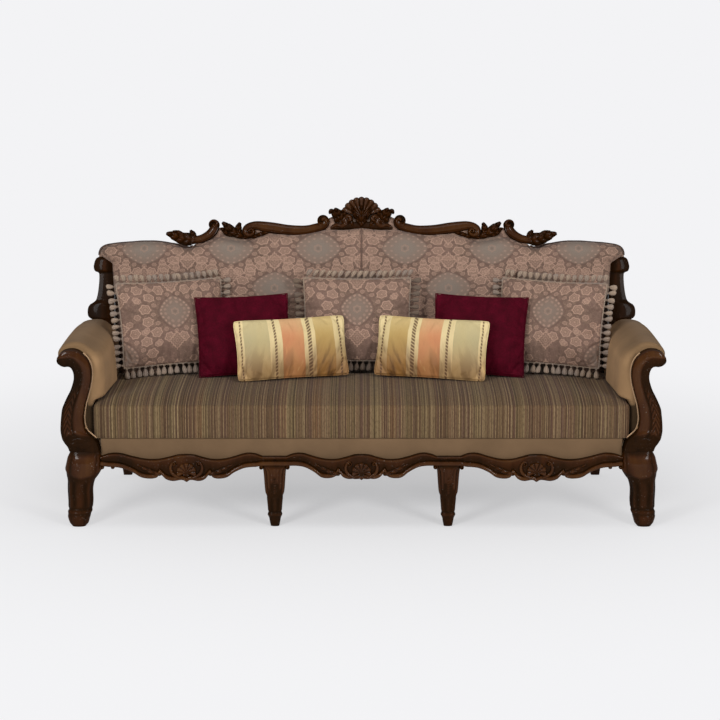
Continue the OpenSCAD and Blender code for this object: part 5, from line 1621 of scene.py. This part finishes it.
def plan(u, v, size):
    """The pillow's outline grid from -1 to 1: sides drawn in between the corners, corners rounded."""
    tuck = 1 - size[3] * np.abs(u * v) ** 8
    x = size[0] / 2 * u * (1 - DRAWN_IN * (1 - v * v)) * tuck
    y = size[1] / 2 * v * (1 - DRAWN_IN * (1 - u * u)) * tuck
    return x, y


def pillow_shape(size, seed, gathers):
    """Two faces crowned by a power of the way in from each side, that meet at a seam, with gathers
    as waves that run in from it and a soft unevenness over the middle."""
    t = size[2]
    along = np.sin(np.linspace(-1, 1, 61) * np.pi / 2)
    u, v = along[:, None], along[None]
    x, y = plan(u, v, size)
    full = t / 2 * ((1 - np.abs(u) ** 2.6) * (1 - np.abs(v) ** 2.6)) ** 0.5
    near_x, near_y = (ease(0.55, 0.97, np.abs(w)) * ease(1, 0.985, np.abs(w)) for w in (u, v))
    shape = Shape()
    for face in (1, -1):
        gather = near_x * np.sin(y / 9 + 2 * ripple(y / 50, y / 31, seed + face) * 3)
        gather = gather + near_y * np.sin(x / 9 + 2 * ripple(x / 50, x / 31, seed + 3 * face) * 3)
        uneven = ripple(x / 70, y / 60, seed + 5 * face) * 1.6 - 1.2
        rise = (gather * gathers + uneven * ease(0.1, 0.5, full / t * 2)) * ease(0, 0.2, full / t * 2)
        z = np.where(full < 1e-6, 0, face * np.maximum(full * 0.985 + rise, 0))
        shape.grid(np.stack([x, y, z], -1), flip=face < 0)
    return shape


def read(items, key, columns, kind=float):
    """A mesh's values in rows."""
    flat = np.zeros(len(items) * columns, kind)
    items.foreach_get(key, flat)
    return flat.reshape(-1, columns)


def settled(piece):
    """A piece as its modifiers leave it."""
    return piece.evaluated_get(bpy.context.evaluated_depsgraph_get())


def stuffed(size, seed):
    """A pillow blown up as cloth. A slightly thin pillow is remeshed, held along its seam, given more
    cloth than the seam has room for and filled with air; no point may move more than the cap. Gives
    points, faces and each point's place on the flat cloth."""
    w, h, t, corner = size
    form = pillow_shape((w, h, t * THIN, corner), seed, 0.5)
    points, quads = np.vstack(form.points), np.vstack(form.quads)
    data = bpy.data.meshes.new("filling")
    data.from_pydata((points * 0.001).tolist(), [], quads.tolist())
    work = bmesh.new()
    work.from_mesh(data)
    bmesh.ops.remove_doubles(work, verts=work.verts, dist=1e-6)
    work.to_mesh(data)
    work.free()
    piece = bpy.data.objects.new("filling", data)
    scene = bpy.context.scene
    scene.collection.objects.link(piece)
    remesh = piece.modifiers.new("remesh", "REMESH")
    remesh.mode, remesh.voxel_size = "VOXEL", VOXEL
    skin = bpy.data.meshes.new_from_object(settled(piece))
    piece.modifiers.clear()
    piece.data = skin
    rest, faces = read(skin.vertices, "co", 3), read(skin.loops, "vertex_index", 1, int).reshape(-1, 4)
    u, v = rest[:, 0] * 2000 / w, rest[:, 1] * 2000 / h
    u, v = u / (1 - DRAWN_IN * (1 - v * v)), v / (1 - DRAWN_IN * (1 - u * u))
    rim = np.minimum((1 - np.abs(u)) * w / 2, (1 - np.abs(v)) * h / 2)
    seam = np.flatnonzero(rim < 7.0)
    piece.vertex_groups.new(name="seam").add(seam.tolist(), 1.0, "REPLACE")
    cloth = piece.modifiers.new("cloth", "CLOTH")
    for key, value in {
        "quality": 5, "mass": 0.3, "bending_stiffness": 0.3, "use_pressure": True,
        "uniform_pressure_force": 4, "shrink_min": -SLACK, "vertex_group_mass": "seam",
    }.items():
        setattr(cloth.settings, key, value)
    cloth.settings.effector_weights.gravity = 0
    for number in range(1, FRAMES + 1):
        scene.frame_set(number)
    moved = read(settled(piece).to_mesh().vertices, "co", 3)
    step = (moved - rest) * 1000
    far = np.linalg.norm(step, axis=1)[:, None]
    step = step * (CAP * np.tanh(far / CAP) / np.maximum(far, 1e-9))
    bpy.data.objects.remove(piece)
    scene.frame_set(1)
    final = rest * 1000 + step
    final[:, 2] *= min(1.0, t / 2 / np.abs(final[:, 2]).max())
    return final, faces, rest * [1, 1, 0]


def pillow(name, form, pose, material, body, slot, node, side, around=1):
    """Sets a pillow down; around -1 turns it half way about its middle first."""
    points, faces, cloth = form
    shape = Shape().mesh(posed(points * [around, around, 1], pose), faces, cloth=cloth * [around, around, 1])
    made = shape.build(name, material, body, slot, [node], side=side, weld=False, angle=70)
    finer = made.modifiers.new("finer", "SUBSURF")
    finer.levels = finer.render_levels = 1


def seam_line(size):
    """The seam round a pillow in its own plane, from the right side round."""
    s, one = np.linspace(-1, 1, 70)[:-1], np.ones(69)
    edges = [plan(one, s, size), plan(-s, one, size), plan(-one, -s, size), plan(s, -one, size)]
    x, y = np.concatenate(edges, 1)
    return np.stack([x, y, 0 * x], -1)


def tassels(shape, size, pose, sizes, seed, brushed=0.0, lit=1.0):
    """A fringe in the pillow's plane: a cord along the seam, and pear-shaped tassels gathered at
    the neck, each of many strands and swung a little its own way. Those along the top are shorter,
    and brushed to one side; on the others lit scales their painted shade."""
    rng = np.random.default_rng(seed)
    w, h = size[:2]
    length, pitch = sizes.tassel * 1000, sizes.tassel_pitch * 1000
    at = np.array([0, 0.05, 0.11, 0.17, 0.22, 0.3, 0.42, 0.56, 0.72, 0.86, 0.95, 1.0])[:, None]
    wide = np.array([2.0, 4.4, 5.0, 4.2, 3.0, 4.8, 7.4, 9.0, 9.9, 9.6, 7.6, 2.5])[:, None]
    a = np.linspace(0, 2 * np.pi, 20, endpoint=False)[None]
    strands = np.cos(7 * a)
    for side in range(4):
        run, rise = (w, h) if side % 2 else (h, w)
        n = int(run // pitch)
        for i in range(n):
            s = (2 * i + 1) / n - 1
            swing, plump, reach = rng.normal(0, 0.09), rng.uniform(0.88, 1.04), rng.uniform(0.92, 1.0)
            if side == 1:
                swing, reach = swing + brushed, reach * 0.84
            r = wide * plump * (1 + 0.07 * strands * ease(0.2, 0.5, at))
            down = at * length * reach
            x = s * run / 2 + r * np.cos(a) + swing * down
            y = (1 - DRAWN_IN * (1 - s * s)) * rise / 2 + GAP + down + 0 * a
            z = r * np.sin(a) * 0.8
            p = np.stack([*turned(x, y, side * 90 - 90), z + 0 * y], -1)
            # Painted light and shade: lighter towards the tip, painted shade in the folds between strands,
            # darker at the neck.
            level = 0.45 + 0.35 * at + 0.35 * strands * ease(0.25, 0.45, at) - 0.6 * hump(at, 0.22, 0.05)
            level = np.clip(level, 0, 1) * (1.0 if side == 1 else lit)
            shape.grid(posed(p, pose), ring=True, ends=True, relief=level)
    cord = {"closed": True, "strands": 3, "twist": 0.8, "around": 12, "relief": 0.7}
    tube(shape, posed(seam_line(size), pose), 3.0, facing_way(pose), **cord)


class SOFA_OT_fringed_pillows(bpy.types.Operator):
    """Three damask pillows with tasselled fringes"""

    bl_idname = "sofa.fringed_pillows"
    bl_label = "Fringed pillows"

    def execute(self, context):
        size, sizes = FRINGED_SIZE, context.scene.sofa_sizes
        form = stuffed(size, 40)
        for word, pose, side, seed, around in (
            ("centre", CENTRE_POSE, 1, 40, 1), ("right", SIDE_POSE, 1, 50, -1), ("left", SIDE_POSE, -1, 60, 1),
        ):
            body = f"{word}_fringed_body"
            pillow(f"{word}_fringed_cloth", form, pose, pillow_damask(), body, "damask",
                   f"{word}_fringed_pillow", side, around)
            trim = Shape()
            # The centre pillow's fringe is brushed further and painted in shade on three sides.
            tassels(trim, size, pose, sizes, seed, *((0.5, 0.2) if word == "centre" else (0.12, 1.0)))
            trim.build(f"{word}_tassels", tassel_yarn(), body, "fringe", [f"{word}_fringe"], side=side)
        return {"FINISHED"}


def plain_pillows(word, size, pose, material, slot, seed):
    """A mirrored pair of pillows with a thin welt round the seam."""
    form = stuffed(size, seed)
    flat = seam_line(size)
    for end, side in (("right", 1), ("left", -1)):
        body = f"{end}_{word}_body"
        pillow(f"{end}_{word}_cloth", form, pose, material, body, slot, f"{end}_{word}_pillow", side)
        welt = Shape()
        tube(welt, posed(flat, pose), 1.8, facing_way(pose), closed=True)
        around = len(welt.points[0]) // (len(flat) + 1)
        welt.cloth = [np.repeat(np.vstack([flat, flat[:1]]) * 0.001, around, axis=0)]
        welt.build(f"{end}_{word}_welt", material, body, slot, side=side)


class SOFA_OT_velvet_pillows(bpy.types.Operator):
    """Two plain velvet pillows"""

    bl_idname = "sofa.velvet_pillows"
    bl_label = "Velvet pillows"

    def execute(self, context):
        plain_pillows("velvet", VELVET_SIZE, VELVET_POSE, velvet(), "velvet", 70)
        return {"FINISHED"}


class SOFA_OT_striped_pillows(bpy.types.Operator):
    """Two silk pillows with braided stripes"""

    bl_idname = "sofa.striped_pillows"
    bl_label = "Striped pillows"

    def execute(self, context):
        plain_pillows("striped", STRIPED_SIZE, STRIPED_POSE, silk_stripe(), "stripe", 80)
        return {"FINISHED"}


# The hidden frame and the studio


class SOFA_OT_frame_finish(bpy.types.Operator):
    """Finishes for the frame's own members, which keep their shapes"""

    bl_idname = "sofa.frame_finish"
    bl_label = "Frame finishes"

    def execute(self, context):
        finish = {"beech": beech, "steel": spring_steel, "glide": nylon, "deck": suede, "walnut": walnut,
                  "lining": lining, "suede": suede, "back_cloth": plain_mauve}
        slot_of = {p["node"]: p["material_slot"] for p in frame["record"]["subparts"]}
        for name, node in frame["nodes"].items():
            if slot_of[name] in finish and not node.hide_render:
                node.data.materials.clear()
                node.data.materials.append(finish[slot_of[name]]())
        return {"FINISHED"}


def aim(place, target):
    """The turn that points a lamp or a camera from its place to its target."""
    return (Vector(target) - Vector(place)).to_track_quat("-Z", "Y").to_euler()


class SOFA_OT_studio(bpy.types.Operator):
    """Pale floor, soft light and the camera"""

    bl_idname = "sofa.studio"
    bl_label = "Studio"

    def execute(self, context):
        scene = context.scene
        ring = np.linspace(0, 2 * np.pi, 64, endpoint=False)
        data = bpy.data.meshes.new("floor")
        data.from_pydata([(90 * math.cos(a), 90 * math.sin(a), -0.0004) for a in ring], [], [list(range(64))])
        data.materials.append(studio_floor())
        floor = bpy.data.objects.new("floor", data)
        scene.collection.objects.link(floor)

        world = bpy.data.worlds.new("studio")
        scene.world = world
        world.use_nodes = True
        sky = world.node_tree.nodes["Background"]
        sky.inputs["Color"].default_value = (1, 1, 1, 1)
        sky.inputs["Strength"].default_value = 0.34

        for name, where, size, power in (
            ("key", (-3.1, -4.9, 2.7), 1.7, 150), ("fill", (3.3, -4.6, 2.3), 1.7, 120),
            ("top", (0, -0.8, 4.4), 2.0, 26),
        ):
            light = bpy.data.lights.new(name, "AREA")
            light.shape, light.size, light.energy = "DISK", size, power
            lamp = bpy.data.objects.new(name, light)
            lamp.location = where
            lamp.rotation_euler = aim(where, (0, 0, 0.5))
            scene.collection.objects.link(lamp)

        view = bpy.data.cameras.new("camera")
        view.sensor_width, view.lens = 36.0, scene.sofa_sizes.lens
        view.shift_x, view.shift_y = -1.5 / 720, -1.2 / 720
        camera = bpy.data.objects.new("camera", view)
        camera.location = (0, -8.036, 2.254)
        camera.rotation_euler = aim(camera.location, (0, -0.015, 0.5487))
        scene.collection.objects.link(camera)
        scene.camera = camera
        scene.view_settings.view_transform = "Standard"
        return {"FINISHED"}


class SOFA_PT_panel(bpy.types.Panel):
    """Lists the sofa's operators"""

    bl_idname = "SOFA_PT_panel"
    bl_label = "Rolled arm sofa"
    bl_space_type = "VIEW_3D"
    bl_region_type = "UI"
    bl_category = "Sofa"

    def draw(self, context):
        for group in (context.scene.sofa_sizes, context.scene.sofa_colours):
            for name in group.__annotations__:
                self.layout.prop(group, name)
        for operator in OPERATORS:
            self.layout.operator(operator.bl_idname)


OPERATORS = (
    SOFA_OT_studio, SOFA_OT_legs, SOFA_OT_apron, SOFA_OT_arm_facings, SOFA_OT_back_posts, SOFA_OT_crest,
    SOFA_OT_seat, SOFA_OT_arms, SOFA_OT_back, SOFA_OT_underside, SOFA_OT_fringed_pillows,
    SOFA_OT_velvet_pillows, SOFA_OT_striped_pillows, SOFA_OT_frame_finish,
)
CLASSES = (SofaSizes, SofaColours, *OPERATORS, SOFA_PT_panel)


def register():
    for cls in CLASSES:
        bpy.utils.register_class(cls)
    bpy.types.Scene.sofa_sizes = PointerProperty(type=SofaSizes)
    bpy.types.Scene.sofa_colours = PointerProperty(type=SofaColours)


def unregister():
    del bpy.types.Scene.sofa_colours
    del bpy.types.Scene.sofa_sizes
    for cls in reversed(CLASSES):
        bpy.utils.unregister_class(cls)


def main():
    """Builds the sofa, one operator after another."""
    register()
    for operator in OPERATORS:
        group, name = operator.bl_idname.split(".")
        getattr(getattr(bpy.ops, group), name)()


if __name__ == "__main__":
    main()
